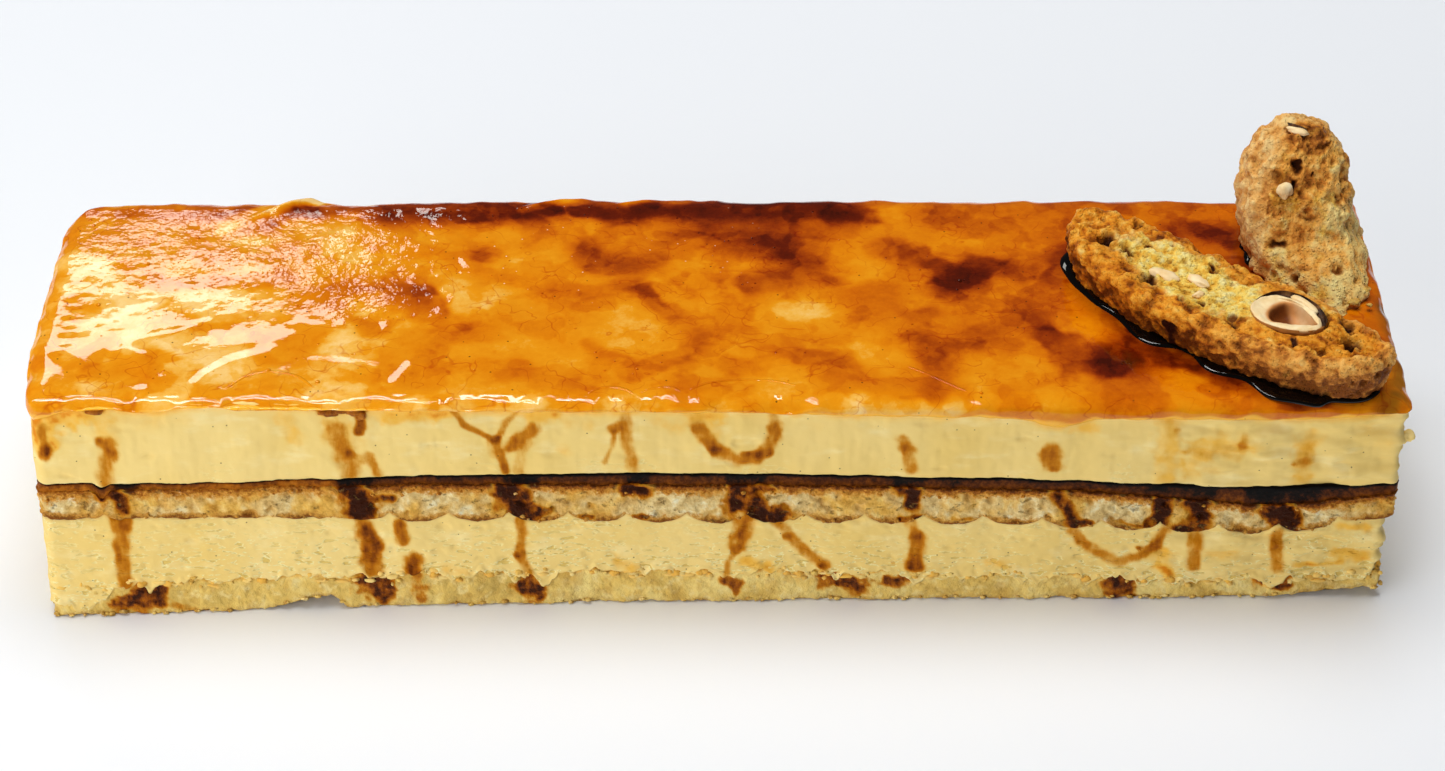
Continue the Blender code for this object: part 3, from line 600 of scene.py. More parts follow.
def base_underside(x, y):
    rising = smooth((x - ARCH_LEFT) / (ARCH_TOP - ARCH_LEFT))
    falling = smooth((ARCH_RIGHT - x) / (ARCH_RIGHT - ARCH_TOP))
    inwards = 1 - smooth((y + HALF_DEPTH) / ARCH_REACH)
    lifted = LIFTED_RISE * smooth((x - LIFTED_END) / (HALF_LENGTH - LIFTED_END))
    return inwards * np.maximum(ARCH_RISE * np.where(x < ARCH_TOP, rising, falling), lifted)


def base_top(x, y):
    return through(BASE_JOINT, x) + BASE_RIDGE_HEIGHT * (ridge_swell(x) - 0.5) + wobble(x, y, "base")


def ladyfinger_underside(x, y):
    deep = RIDGE_DEPTH * (0.2 + 0.8 * smooth((x - RIDGES_START) / RIDGE_PITCH))
    form = through(LADYFINGER_JOINT, x) + deep * (0.6 - ridge_swell(x)) + JOINT_LIFT * sheet_joint(x)
    return form + wobble(x, y, "ladyfinger")


def ladyfinger_top(x, y):
    form = through(SYRUP_JOINT, x) - JOINT_DIP * sheet_joint(x)
    return form + wobble(x, y, "syrup") + wobble(x, y, "syrup_grain")


def syrup_top(x, y):
    return through(MOUSSE_JOINT, x) - SYRUP_DIP * sheet_joint(x) + wobble(x, y, "mousse")


def mousse_top(x, y):
    at_lip = 1 - smooth((y + HALF_DEPTH) / LIP_DEPTH)
    return MOUSSE_TOP + at_lip * (through(GLAZE_LIP, x) - MOUSSE_TOP + wobble(x, 0, "lip"))


def curls(x, y):
    """Folds at the back, each thin where it starts at the left and full at its right end."""
    rise = 0.0
    for centre_x, centre_y, half_long, half_wide, turn, height in CURLS:
        angle = math.radians(turn)
        along = ((x - centre_x) * math.cos(angle) + (y - centre_y) * math.sin(angle)) / half_long
        across = (y - centre_y) * math.cos(angle) - (x - centre_x) * math.sin(angle)
        fullness = 0.55 + 0.45 * np.clip(along, -1, 1)
        rise = rise + height * fullness * np.exp(-(along ** 4) - (across / (half_wide * fullness)) ** 2)
    return rise


def glaze_top(x, y):
    """The poured surface: rolled edges, broad ripples, wrinkles at the left and swept-up ridges."""
    inset = np.minimum(HALF_LENGTH - np.abs(x), HALF_DEPTH - np.abs(y))
    short = GLAZE_ROLL * np.clip(1 - inset / GLAZE_ROLL_REACH, 0, 1)
    roll = GLAZE_ROUNDING * (1 - np.sqrt(1 - short**2))
    roll = roll * (1 + 0.6 * lumps(spots(x, y, 13.0), 7.5, 2))
    rippled = step(x, RIPPLES_GONE, RIPPLES_FULL)
    broad = rippled * RIPPLE_RISE * 0.8 * lumps(spots(x, y, 0.0), RIPPLE_SIZE)
    wrinkled = 1 - step(x, -75, 5)
    sway = y + 0.25 * x + 1.2 * lumps(spots(x, y, 15.0), 9.0)
    fine = 0.075 * lumps(spots(x, sway, 9.0), 4.5, 2) + 0.04 * lumps(spots(x, sway, 17.0), 2.4)
    drawn = 0.15 * lumps(spots(x / 1.2, sway, 7.0), 9.0) + (1 - step(y, -8, -22)) * fine
    swept = 0.0
    for path, half_width, rise in SWOOSHES:
        swept = swept + rise * np.exp(-((far_from(x, y, path) / half_width) ** 2))
    calm = 0.04 * lumps(spots(x, y, 11.0), 6.0)
    falling = (SAG_BEHIND * step(y, 12, 42) + SAG_IN_FRONT * step(y, -10, -40)) * step(x, -40, -90)
    raised = broad + (wrinkled * drawn + swept) * smooth(inset / 3) + calm + curls(x, y)
    return GLAZE_TOP - roll - falling + raised


# ---------------------------------------------------------------- making meshes

LONG_STEPS, SHORT_STEPS = ((600, 164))


def outline():
    """Round the unit square: in front to the right, then the right end, the back and the left end."""
    along = np.linspace(-1, 1, LONG_STEPS + 1)[:-1]
    across = np.linspace(-1, 1, SHORT_STEPS + 1)[:-1]
    one_long, one_short = np.ones(LONG_STEPS), np.ones(SHORT_STEPS)
    return (
        np.concatenate([along, one_short, -along, -one_short]),
        np.concatenate([-one_long, across, one_long, -across]),
    )


U, V = outline()
GIRTH = np.select(  # how far round the sides from the middle of the front, below 0 to its left
    [V == -1, U == 1, V == 1],
    [U * HALF_LENGTH, HALF_LENGTH + (V + 1) * HALF_DEPTH, LENGTH + DEPTH - U * HALF_LENGTH],
    -HALF_LENGTH - (V + 1) * HALF_DEPTH,
)
CORNER = np.where(U > 0, RIGHT_CORNER, np.where(V > 0, REAR_LEFT_CORNER, FRONT_LEFT_CORNER))


def ring(inset):
    """The plan of the cake that far in from its sides, and the way out of it at each point."""
    half_x, half_y = HALF_LENGTH - inset, HALF_DEPTH - inset
    radius = np.minimum(np.maximum(CORNER - inset, 0.2), max(half_y, 1e-3))
    x, y = U * half_x, V * half_y
    over_x, over_y = (np.abs(x) - (half_x - radius)) / radius, (np.abs(y) - (half_y - radius)) / radius
    round_here = (over_x > 0) & (over_y > 0)
    reach = np.maximum(np.hypot(over_x, over_y), 1e-9)
    pull = np.where(round_here, np.maximum(over_x, over_y) / reach, 1.0)
    out_x = np.where(round_here, np.sign(x) * over_x / reach, np.where(np.abs(U) == 1, np.sign(U), 0))
    out_y = np.where(round_here, np.sign(y) * over_y / reach, np.where(np.abs(U) == 1, 0, np.sign(V)))
    x = np.where(round_here, np.sign(x) * (half_x - radius + radius * over_x * pull), x)
    y = np.where(round_here, np.sign(y) * (half_y - radius + radius * over_y * pull), y)
    return x, y, out_x, out_y


def lean(name, x, y, z):
    """Shifts a side to where the real slab's leaning faces are."""
    left, right, front = STAND_OUT[name]
    share = z / MOUSSE_TOP
    leaning = through(FRONT_FOOT, x) * (1 - share) + through(FRONT_TOP, x) * share
    out = np.where(x > 0, right, -left * smooth((y + HALF_DEPTH) / LEFT_FADE))
    y = y + (leaning + HALF_DEPTH - front) * smooth(-y / HALF_DEPTH * 2 - 1)
    return x + out * smooth(np.abs(x) / HALF_LENGTH * 12 - 11), y


def dress(obj, finish, slot, *nodes):
    """Gives a piece its finish and its body, and hides the solids that it stands for."""
    obj.data.materials.append(finish)
    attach(obj, "root")
    if nodes:
        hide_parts(*nodes)
    return obj


def canvas(labels):
    """An empty shape with a layer for each value that its finish reads."""
    shape = bmesh.new()
    for label in labels:
        shape.verts.layers.float.new(label)
    return shape


def settle(name, shape):
    """Turns the faces outwards and puts the shape in the scene as a piece."""
    bmesh.ops.recalc_face_normals(shape, faces=shape.faces[:])
    mesh = bpy.data.meshes.new(name)
    shape.to_mesh(mesh)
    shape.free()
    mesh.shade_smooth()
    obj = bpy.data.objects.new(name, mesh)
    bpy.context.scene.collection.objects.link(obj)
    return obj


def grow(shape, rings, paints, pinched):
    """Adds one closed skin through rings of points, each painted with values for the finish to read."""
    segments = rings.shape[1]
    circle = bmesh.ops.create_circle(shape, cap_ends=not pinched, radius=1.0, segments=segments)["verts"]
    edges = [shape.edges.get((circle[k], circle[(k + 1) % segments])) for k in range(segments)]
    rows = [circle]
    for _ in rings[1:]:
        grown = bmesh.ops.extrude_edge_only(shape, edges=edges)["geom"]
        rows.append([part for part in grown if isinstance(part, bmesh.types.BMVert)])
        edges = [part for part in grown if isinstance(part, bmesh.types.BMEdge)]
    if not pinched:
        bmesh.ops.contextual_create(shape, geom=edges)
    for r, row in enumerate(rows):
        for vertex, point in zip(row, (rings[r] * MM).tolist()):
            vertex.co = point
    for label, values in paints.items():
        layer = shape.verts.layers.float[label]
        for row, painted in zip(rows, values.tolist()):
            for vertex, value in zip(row, painted):
                vertex[layer] = value


def loft(name, rings, paints, pinched=False):
    """A closed piece through rings of points. Pinched ends fall together instead of being capped."""
    shape = canvas(paints)
    grow(shape, rings, paints, pinched)
    if pinched:
        bmesh.ops.remove_doubles(shape, verts=shape.verts[:], dist=MERGE)
    return settle(name, shape)


def slab(node, piece, underside, top, overlap, courses, relief, paint):
    """One layer of the cake, with its cut sides in relief and painted by place and height."""
    rolled_below, rolled_above = ROLLED_EDGES[node]
    plan = [(inset, 0.0) for inset in HIDDEN_INSETS]
    plan += [(0.0, k / courses) for k in range(courses + 1)]
    plan += [(inset, 1.0) for inset in reversed(HIDDEN_INSETS)]
    rings, levels = [], []
    for inset, share in plan:
        x, y, out_x, out_y = ring(inset)
        low, high = underside(x, y), top(x, y) + overlap
        z = low + (high - low) * share
        if inset == 0.0:
            foot, head = smooth((z - low) / EDGE_ROLL), smooth((high - z) / EDGE_ROLL)
            push = -EDGE_ROLL * np.maximum(rolled_below * (1 - foot), rolled_above * (1 - head))
            push = push + relief(spots(x, y, z), z - low, high - z)
        else:
            push = np.full_like(x, -HIDDEN_SHIFT)
        x, y = lean(node, x, y, z)
        rings.append(spots(x + out_x * push, y + out_y * push, z))
        levels.append((z, z - low, high - z))
    rings = np.array(rings)
    z, above, below = (np.array(level) for level in zip(*levels))
    girths = np.broadcast_to(GIRTH, z.shape)
    return loft(piece, rings, paint(girths, z, above, below, rings))


def random_runs(seed, count, low, high):
    """Seeded coffee runs for the back and the ends, in the same form as the ones in front."""
    chance = random.Random(seed)
    runs = []
    for _ in range(count):
        behind = chance.uniform(158, 520), chance.uniform(158, 520)
        start = chance.choice((*behind, chance.uniform(-224, -156)))
        ground = chance.uniform(low, high - 4)
        steps = [(start + chance.uniform(-2, 2), high - (high - ground) * k / 3) for k in range(4)]
        runs.append((steps, chance.uniform(0.8, 1.8), chance.uniform(0.3, 0.8)))
    return runs


# ---------------------------------------------------------------- finishes


def shade(red, green, blue):
    """A colour read off the real cake, for the shader."""
    parts = (red / 255, green / 255, blue / 255)
    linear = [part / 12.92 if part <= 0.04045 else ((part + 0.055) / 1.055) ** 2.4 for part in parts]
    return (*linear, 1.0)


class Finish:
    """A material being mixed. Every method adds one node and gives back its result."""

    def __init__(self, name, roughness, gloss=None):
        self.material = bpy.data.materials.new(name)
        self.material.use_nodes = True
        self.nodes, self.links = self.material.node_tree.nodes, self.material.node_tree.links
        self.shader = self.nodes["Principled BSDF"]
        self.shader.inputs["Roughness"].default_value = roughness
        for label, value in (gloss or {}).items():
            self.shader.inputs[label].default_value = value
        self.place = self.nodes.new("ShaderNodeTexCoord").outputs["Object"]

    def feed(self, socket, value):
        """Links another node's result, or sets a number or a colour."""
        if isinstance(value, bpy.types.NodeSocket):
            self.links.new(value, socket)
        else:
            socket.default_value = shade(*value) if isinstance(value, tuple) else value

    def stretched(self, stretch):
        if stretch == (1, 1, 1):
            return self.place
        mapping = self.nodes.new("ShaderNodeMapping")
        mapping.inputs["Scale"].default_value = [1 / s for s in stretch]
        self.links.new(self.place, mapping.inputs["Vector"])
        return mapping.outputs["Vector"]

    def cloud(self, size, detail=4, rough=0.55, stretch=(1, 1, 1)):
        node = self.nodes.new("ShaderNodeTexNoise")
        self.links.new(self.stretched(stretch), node.inputs["Vector"])
        node.inputs["Scale"].default_value = 1 / (size * MM)
        node.inputs["Detail"].default_value = detail
        node.inputs["Roughness"].default_value = rough
        return node.outputs["Fac"]

    def cells(self, size, output="Distance"):
        node = self.nodes.new("ShaderNodeTexVoronoi")
        self.links.new(self.place, node.inputs["Vector"])
        node.inputs["Scale"].default_value = 1 / (size * MM)
        return node.outputs[output]

    def painted(self, label):
        node = self.nodes.new("ShaderNodeAttribute")
        node.attribute_name = label
        return node.outputs["Fac"]

    def calc(self, operation, first, second=0.0, third=0.0):
        node = self.nodes.new("ShaderNodeMath")
        node.operation = operation
        for socket, value in zip(node.inputs, (first, second, third)):
            self.feed(socket, value)
        return node.outputs["Value"]

    def times(self, first, second):
        return self.calc("MULTIPLY", first, second)

    def plus(self, first, second):
        return self.calc("ADD", first, second)

    def scaled(self, value, gain, base):
        return self.calc("MULTIPLY_ADD", value, gain, base)

    def between(self, value, start, end):
        """0 up to start, 1 from end on."""
        node = self.nodes.new("ShaderNodeMapRange")
        node.interpolation_type = "SMOOTHSTEP"
        self.feed(node.inputs["Value"], value)
        node.inputs["From Min"].default_value = start
        node.inputs["From Max"].default_value = end
        return node.outputs["Result"]

    def ramp(self, value, *stops):
        node = self.nodes.new("ShaderNodeValToRGB")
        self.feed(node.inputs["Fac"], value)
        points = node.color_ramp.elements
        while len(points) < len(stops):
            points.new(0.5)
        for point, (position, colour) in zip(points, stops):
            point.position = position
        for point, (position, colour) in zip(points, stops):
            point.color = shade(*colour)
        return node.outputs["Color"]

    def blend(self, share, first, second, mode="MIX"):
        node = self.nodes.new("ShaderNodeMix")
        node.data_type = "RGBA"
        node.blend_type = mode
        self.feed(node.inputs[0], share)
        self.feed(node.inputs[6], first)
        self.feed(node.inputs[7], second)
        return node.outputs[2]

    def tint(self, under, value, start, end, colour):
        """A colour laid over another, from nothing where the value is at its start to full at its end."""
        return self.blend(self.between(value, start, end), under, colour)

    def relief(self, height, depth, strength=1.0, under=None):
        """Bumps of that depth in mm, on top of other bumps."""
        node = self.nodes.new("ShaderNodeBump")
        node.inputs["Strength"].default_value = strength
        node.inputs["Distance"].default_value = depth * MM
        self.feed(node.inputs["Height"], height)
        if under:
            self.links.new(under, node.inputs["Normal"])
        return node.outputs["Normal"]

    def done(self, colour, normal=None):
        self.feed(self.shader.inputs["Base Color"], colour)
        if normal:
            self.links.new(normal, self.shader.inputs["Normal"])
        return self.material


def coffee_stained(mix, colour, gain=1.0, rough=1.0):
    """Coffee that soaked into a pale surface: amber where thin, dark brown where it gathered."""
    fine = mix.scaled(mix.cloud(1.5, 5, 0.62), 1.1 * rough, 0.95 - 0.55 * rough)
    drawn = mix.scaled(mix.cloud(1.5, 3, 0.5, (1, 1, 4)), 0.9, 0.45)
    uneven = mix.times(mix.times(mix.painted("stain"), mix.times(fine, drawn)), gain)
    coffee = mix.ramp(
        uneven, (0.0, (242, 200, 100)), (0.28, (224, 162, 52)), (0.5, (198, 122, 20)),
        (0.68, (162, 86, 8)), (0.84, (112, 52, 6)), (1.0, (58, 23, 6)),
    )
    return mix.blend(mix.between(uneven, 0.02, 0.48), colour, coffee)


def mousse_finish():
    """Vanilla mousse: pale and smooth, with vanilla specks, coffee runs and fine slits painted with shade
    inside and a highlight on their rims.
    """
    mix = Finish("vanilla_mousse", 0.45, {"Specular IOR Level": 0.06})
    colour = mix.ramp(mix.cloud(30, 3), (0.35, (249, 219, 139)), (0.68, (243, 209, 122)))
    colour = mix.tint(colour, mix.cloud(4, 4, 0.5, (2.2, 2.2, 0.9)), 0.5, 0.85, (254, 232, 164))
    crowd = mix.plus(mix.times(mix.painted("pits"), 0.45), mix.times(mix.cloud(12, 2), 0.5))
    slits = mix.cloud(1.5, 2, 0.5, (1.7, 1.7, 0.6))
    chosen = mix.between(crowd, 0.38, 0.62)
    # painted shade inside the slits, and a painted highlight on their rims
    pits = mix.times(mix.between(slits, 0.59, 0.64), chosen)
    painted_rim_highlight = mix.times(mix.between(slits, 0.54, 0.59), chosen)
    colour = mix.blend(mix.times(painted_rim_highlight, 0.7), colour, (255, 246, 184))
    colour = mix.blend(mix.times(pits, 0.75), colour, (226, 184, 72))
    tinted = mix.times(mix.painted("amber"), mix.scaled(mix.cloud(3.0, 4), 1.4, 0.3))
    colour = mix.tint(colour, tinted, 0.0, 0.7, (246, 190, 76))
    colour = mix.tint(colour, tinted, 0.6, 1.1, (226, 136, 22))
    colour = coffee_stained(mix, colour, 0.94, 0.5)
    specks = mix.between(mix.cells(3.1), 0.07, 0.04)
    colour = mix.blend(mix.times(specks, 0.8), colour, (96, 62, 26))
    soft = mix.relief(mix.cloud(2.4, 5, 0.5, (1.8, 1.8, 0.8)), 0.10, 0.7)
    pitted = mix.relief(mix.times(mix.between(slits, 0.55, 0.7), chosen), -0.3, 0.7, soft)
    return mix.done(colour, pitted)


def ladyfinger_finish():
    """Soaked ladyfinger sponge: grey-beige open crumb, coffee-dark above, browned along the piped ridges."""
    mix = Finish("ladyfinger_crumb", 0.6, {"Specular IOR Level": 0.12})
    colour = mix.ramp(mix.cloud(2.8, 6, 0.66), (0.3, (178, 138, 76)), (0.42, (224, 190, 122)),
                      (0.54, (246, 220, 156)), (0.68, (255, 247, 210)))
    colour = mix.blend(mix.between(mix.cloud(11, 3), 0.42, 0.62), colour, (252, 222, 150), "MULTIPLY")
    grain = mix.scaled(mix.cloud(1.0, 5, 0.7), 1.5, -0.75)
    rim = mix.plus(mix.painted("crust"), grain)
    colour = mix.tint(colour, rim, 0.2, 0.6, (212, 152, 64))
    colour = mix.tint(colour, rim, 0.55, 0.95, (136, 78, 26))
    soaked = mix.plus(mix.painted("soak"), grain)
    colour = mix.tint(colour, soaked, 0.12, 0.5, (222, 154, 58))
    colour = mix.tint(colour, soaked, 0.42, 0.78, (158, 88, 22))
    colour = mix.tint(colour, soaked, 0.75, 1.05, (84, 40, 10))
    colour = coffee_stained(mix, colour, 1.35)
    # the sponge's pores, painted darker as shade and sunk by bumps
    shaded_pores = mix.between(mix.cloud(2.0, 4, 0.6, (1.3, 1.3, 0.8)), 0.4, 0.3)
    colour = mix.blend(mix.times(shaded_pores, 0.55), colour, (166, 126, 68))
    normal = mix.relief(mix.cloud(1.0, 6, 0.7), 0.55, 1.0)
    normal = mix.relief(shaded_pores, -0.45, 0.9, normal)
    return mix.done(colour, normal)


def base_finish():
    """The base sponge: wet and nearly see-through, with yellow crumbs and dark coffee blots."""
    mix = Finish("soaked_base_crumb", 0.45, {"Specular IOR Level": 0.15})
    colour = mix.ramp(mix.cloud(13, 5, 0.62), (0.34, (214, 180, 94)), (0.48, (243, 206, 110)),
                      (0.62, (255, 229, 144)))
    colour = mix.blend(mix.times(mix.between(mix.cloud(2.4, 5, 0.6), 0.5, 0.66), 0.7), colour,
                       (253, 230, 158))
    wet = mix.between(mix.cloud(4.5, 5, 0.6), 0.5, 0.36)
    colour = mix.blend(mix.times(wet, 0.45), colour, (204, 156, 66))
    toasted = mix.times(mix.painted("foot"), mix.between(mix.cloud(1.5, 5, 0.66), 0.42, 0.6))
    colour = mix.blend(mix.times(toasted, 0.8), colour, (168, 106, 34))
    yellow = mix.times(mix.painted("yolk"), mix.scaled(mix.cloud(1.8, 5), 1.6, 0.1))
    colour = mix.tint(colour, yellow, 0.15, 0.9, (246, 190, 84))
    colour = coffee_stained(mix, colour, 1.1)
    normal = mix.relief(mix.cloud(1.6, 6, 0.62), 0.75, 1.0)
    return mix.done(colour, normal)


def syrup_finish(name, roughness, gloss):
    """Coffee syrup: grainy brown below, black where it is thick and along its top."""
    mix = Finish(name, roughness, gloss)
    grain = mix.scaled(mix.cloud(1.1, 5, 0.68), 0.9, -0.45)
    broad = mix.scaled(mix.cloud(7, 4, 0.6), 0.7, -0.35)
    rim = mix.times(mix.between(mix.painted("rise"), 0.72, 1.0), 0.4)
    rising = mix.plus(mix.scaled(mix.painted("rise"), 0.34, 0.14), rim)
    depth = mix.plus(rising, mix.plus(grain, broad))
    depth = mix.plus(depth, mix.times(mix.painted("thick"), 0.55))
    colour = mix.ramp(depth, (0.0, (196, 122, 34)), (0.2, (172, 98, 20)), (0.4, (124, 64, 12)),
                      (0.62, (82, 38, 8)), (0.84, (26, 13, 7)), (1.0, (8, 6, 5)))
    return mix.done(colour, mix.relief(mix.cloud(1.0, 5, 0.6), 0.22, 0.9))


def glaze_finish():
    """Caramel glaze: clear amber gel, pale over thin places and burnt dark in veils and along the back."""
    mix = Finish("caramel_glaze", 0.5, {
        "Specular IOR Level": 0.0, "Coat Weight": 1.0, "Coat Roughness": 0.025, "Coat IOR": 1.42,
    })
    grain = mix.scaled(mix.cloud(1.5, 6, 0.7), 0.2, -0.1)
    patches = mix.scaled(mix.cloud(9, 5, 0.52, (1.1, 1, 1)), 0.3, -0.15)
    crisp = mix.scaled(mix.between(mix.cloud(12, 4, 0.45, (1.1, 1, 1)), 0.48, 0.54), 0.1, -0.05)
    small = mix.times(mix.between(mix.cloud(6, 4, 0.45, (1, 1.2, 1)), 0.54, 0.59), 0.06)
    tone = mix.plus(mix.painted("tone"), mix.plus(mix.plus(grain, patches), mix.plus(crisp, small)))
    colour = mix.ramp(
        tone, (0.0, (248, 208, 132)), (0.12, (241, 180, 72)), (0.22, (233, 150, 18)),
        (0.36, (224, 130, 5)), (0.50, (208, 106, 3)), (0.62, (182, 80, 2)),
        (0.74, (146, 52, 2)), (0.86, (100, 26, 2)), (1.0, (64, 14, 2)),
    )
    colour = mix.blend(mix.times(mix.painted("olive"), 0.85), colour, (112, 78, 16))
    # painted highlights: tiny bright dots in the painted glint zone, standing in for glints off small bubbles
    chosen = mix.between(mix.cells(2.3, "Color"), 0.5, 0.56)
    painted_glints = mix.times(mix.between(mix.cells(2.3), 0.1, 0.05), chosen)
    colour = mix.blend(mix.times(painted_glints, mix.painted("painted_glint_zone")), colour, (255, 232, 190))
    colour = mix.blend(mix.painted("edge"), colour, (250, 184, 52))
    for size, stretch in ((14, (1.3, 1, 1)), (9, (1, 1.3, 1)), (6, (1.2, 1, 1))):
        line = mix.calc("ABSOLUTE", mix.calc("SUBTRACT", mix.cloud(size, 2, 0.4, stretch), 0.5))
        broken = mix.between(mix.cloud(1.3 * size, 3), 0.46, 0.62)
        thread = mix.times(mix.between(line, 0.09 / size, 0.01 / size), broken)
        colour = mix.blend(mix.times(thread, 0.6), colour, (222, 164, 96), "MULTIPLY")
    specks = mix.between(mix.cells(3.0), 0.09, 0.05)
    chosen = mix.between(mix.cells(3.0, "Color"), 0.5, 0.6)
    colour = mix.blend(mix.times(mix.times(specks, chosen), 0.85), colour, (52, 20, 6))
    crinkles = mix.times(mix.cloud(1.9, 2, 0.5, (0.9, 1, 1)), mix.scaled(mix.painted("skin"), 1.0, 0.06))
    skin = mix.relief(crinkles, 0.16, 1.0)
    mix.links.new(skin, mix.shader.inputs["Coat Normal"])
    return mix.done(colour)


def biscuit_finish():
    """Baked almond biscuit: golden-brown crust, paler crumb, painted shade in its holes and between its
    grains, painted light on its knobs.
    """
    mix = Finish("almond_biscuit", 0.5, {"Specular IOR Level": 0.15})
    # painted light and shade: raised knobs lighter, the hollows between the grains darker
    raised = mix.times(mix.painted("knob"), 0.32)
    bake_with_knob_light = mix.plus(mix.cloud(4.5, 6, 0.66), raised)
    crust = mix.ramp(bake_with_knob_light, (0.24, (104, 48, 10)), (0.38, (188, 102, 20)), (0.5, (232, 145, 34)),
                     (0.66, (249, 176, 62)), (0.85, (255, 214, 118)))
    pink = mix.ramp(bake_with_knob_light, (0.22, (160, 92, 34)), (0.39, (210, 144, 70)), (0.54, (242, 183, 102)),
                    (0.78, (253, 217, 148)))
    crust = mix.blend(mix.times(mix.painted("gold"), 0.6), crust, pink)
    crumb_tone_with_knob_light = mix.plus(mix.cloud(2.4, 6, 0.68), raised)
    crumb = mix.ramp(crumb_tone_with_knob_light, (0.2, (194, 124, 30)), (0.36, (245, 188, 68)), (0.5, (255, 218, 106)),
                     (0.7, (255, 238, 160)))
    where = mix.plus(mix.painted("crumb"), mix.scaled(mix.cloud(3.2, 5, 0.6), 1.4, -0.7))
    colour = mix.blend(mix.between(where, 0.05, 0.8), crust, crumb)
    # painted shade in the holes and crevices
    colour = mix.tint(colour, mix.painted("hole_shade"), 0.2, 0.9, (146, 84, 28))
    colour = mix.tint(colour, mix.painted("hole_shade"), 0.7, 1.15, (60, 28, 12))
    colour = mix.tint(colour, mix.painted("dark"), 0.2, 0.8, (50, 18, 8))
    normal = mix.relief(mix.cloud(0.9, 6, 0.72), 0.6, 1.0)
    normal = mix.relief(mix.between(mix.cells(0.8), 0.5, 0.05), 0.3, 0.9, normal)
    return mix.done(colour, normal)


def nut_finish():
    """Hazelnut and almond: cream flesh, browned in the hollow, under a thin dark skin."""
    mix = Finish("nut_flesh", 0.45, {"Specular IOR Level": 0.25})
    flesh = mix.ramp(mix.cloud(2.5, 5), (0.3, (240, 204, 142)), (0.7, (253, 231, 184)))
    colour = mix.blend(mix.between(mix.painted("brown"), 0.0, 0.6), flesh, (220, 152, 88))
    colour = mix.tint(colour, mix.painted("brown"), 0.5, 1.0, (112, 56, 16))
    husk = mix.ramp(mix.cloud(3.0, 4), (0.35, (36, 20, 12)), (0.55, (66, 38, 20)), (0.7, (128, 86, 46)))
    colour = mix.tint(colour, mix.painted("skin"), 0.2, 0.5, (176, 116, 56))
    colour = mix.blend(mix.between(mix.painted("skin"), 0.5, 0.9), colour, husk)
    return mix.done(colour, mix.relief(mix.cloud(0.8, 5), 0.15, 0.7))


MOUSSE, LADYFINGER, BASE = mousse_finish(), ladyfinger_finish(), base_finish()
GLAZE, BISCUIT, NUT = glaze_finish(), biscuit_finish(), nut_finish()
SYRUP = syrup_finish("coffee_syrup", 0.5, {"Specular IOR Level": 0.1})
BURNT_DROPS = syrup_finish("burnt_caramel", 0.3, {"Specular IOR Level": 0.12})
WET_SYRUP = syrup_finish(
    "wet_coffee_syrup", 0.3, {"Specular IOR Level": 0.0, "Coat Weight": 0.7, "Coat Roughness": 0.04},
)

# ---------------------------------------------------------------- the layers


def dragged(points):
    """The right end of the cake, where the knife dragged the mousse into long folds."""
    return DRAG_RISE * step(points[..., 0], DRAG_START, DRAG_FULL) * lumps(points * (0.28, 0.28, 1.0), 3.4, 3)


def mousse_relief(points, above, below):
    soft = 0.5 * lumps(points, SIDE_LUMPS) + 0.13 * lumps(points, 2.6, 3)
    soft = soft + 0.10 * lumps(points * (1.0, 1.0, 0.2), 1.6, 2)
    return soft - 0.35 * holes(points * (0.45, 0.45, 1.3), 3.0, 0.06) + dragged(points)


def lower_mousse_relief(points, above, below):
    ledges = 0.35 * smooth(1 - above / 5) * lumps(points * (0.3, 0.3, 1.0), 1.3, 3)
    torn = 0.5 * smooth(1 - above / 1.6)
    pitted = 0.38 * holes(points * (0.62, 0.62, 1.1), 2.0, 0.2)
    soft = 0.5 * lumps(points, SIDE_LUMPS) + 0.16 * lumps(points, 2.4, 3)
    return soft - pitted + ledges + torn + dragged(points)


def sponge_relief(points, above, below):
    edge = smooth(1 - np.minimum(above, below) / 1.2)
    rough = 0.6 * lumps(points, SIDE_LUMPS) + 0.4 * lumps(points, 1.6, 3) + 0.25 * grains(points, 1.3)
    return rough * (1 - 0.3 * edge) + 0.25 * edge - 0.9 * holes(points, 2.6, 0.3) * (1 - edge)


def base_relief(points, above, below):
    rough = 0.7 * lumps(points, SIDE_LUMPS) + 0.40 * lumps(points, 2.4, 3) + 0.18 * grains(points, 1.5)
    crumbly = 0.5 * smooth(1 - below / 1.6) * lumps(points, 1.6, 2)
    return rough + crumbly - 0.4 * holes(points, 2.6, 0.12) - 0.35


def syrup_relief(points, above, below):
    rough = 0.35 * lumps(points, 1.6, 3) + 0.2 * grains(points, 1.3)
    return 0.55 * lumps(points, SIDE_LUMPS) + rough * (0.4 + 0.6 * smooth(1 - above / 1.8)) - 0.1


def dripping(x, y, reach):
    """How far the mousse hangs ragged over the layer below."""
    broad = smooth(lumps(spots(x, y, 77.0), 7.0, 2) * 1.3 + 0.2 + 0.25 * smooth(x / 60))
    tongues = broad * (0.45 + 0.6 * lumps(spots(x, y, 79.0), 2.6, 2))
    return reach * (0.3 * lumps(spots(x, y, 78.0), 1.6, 2) + tongues)


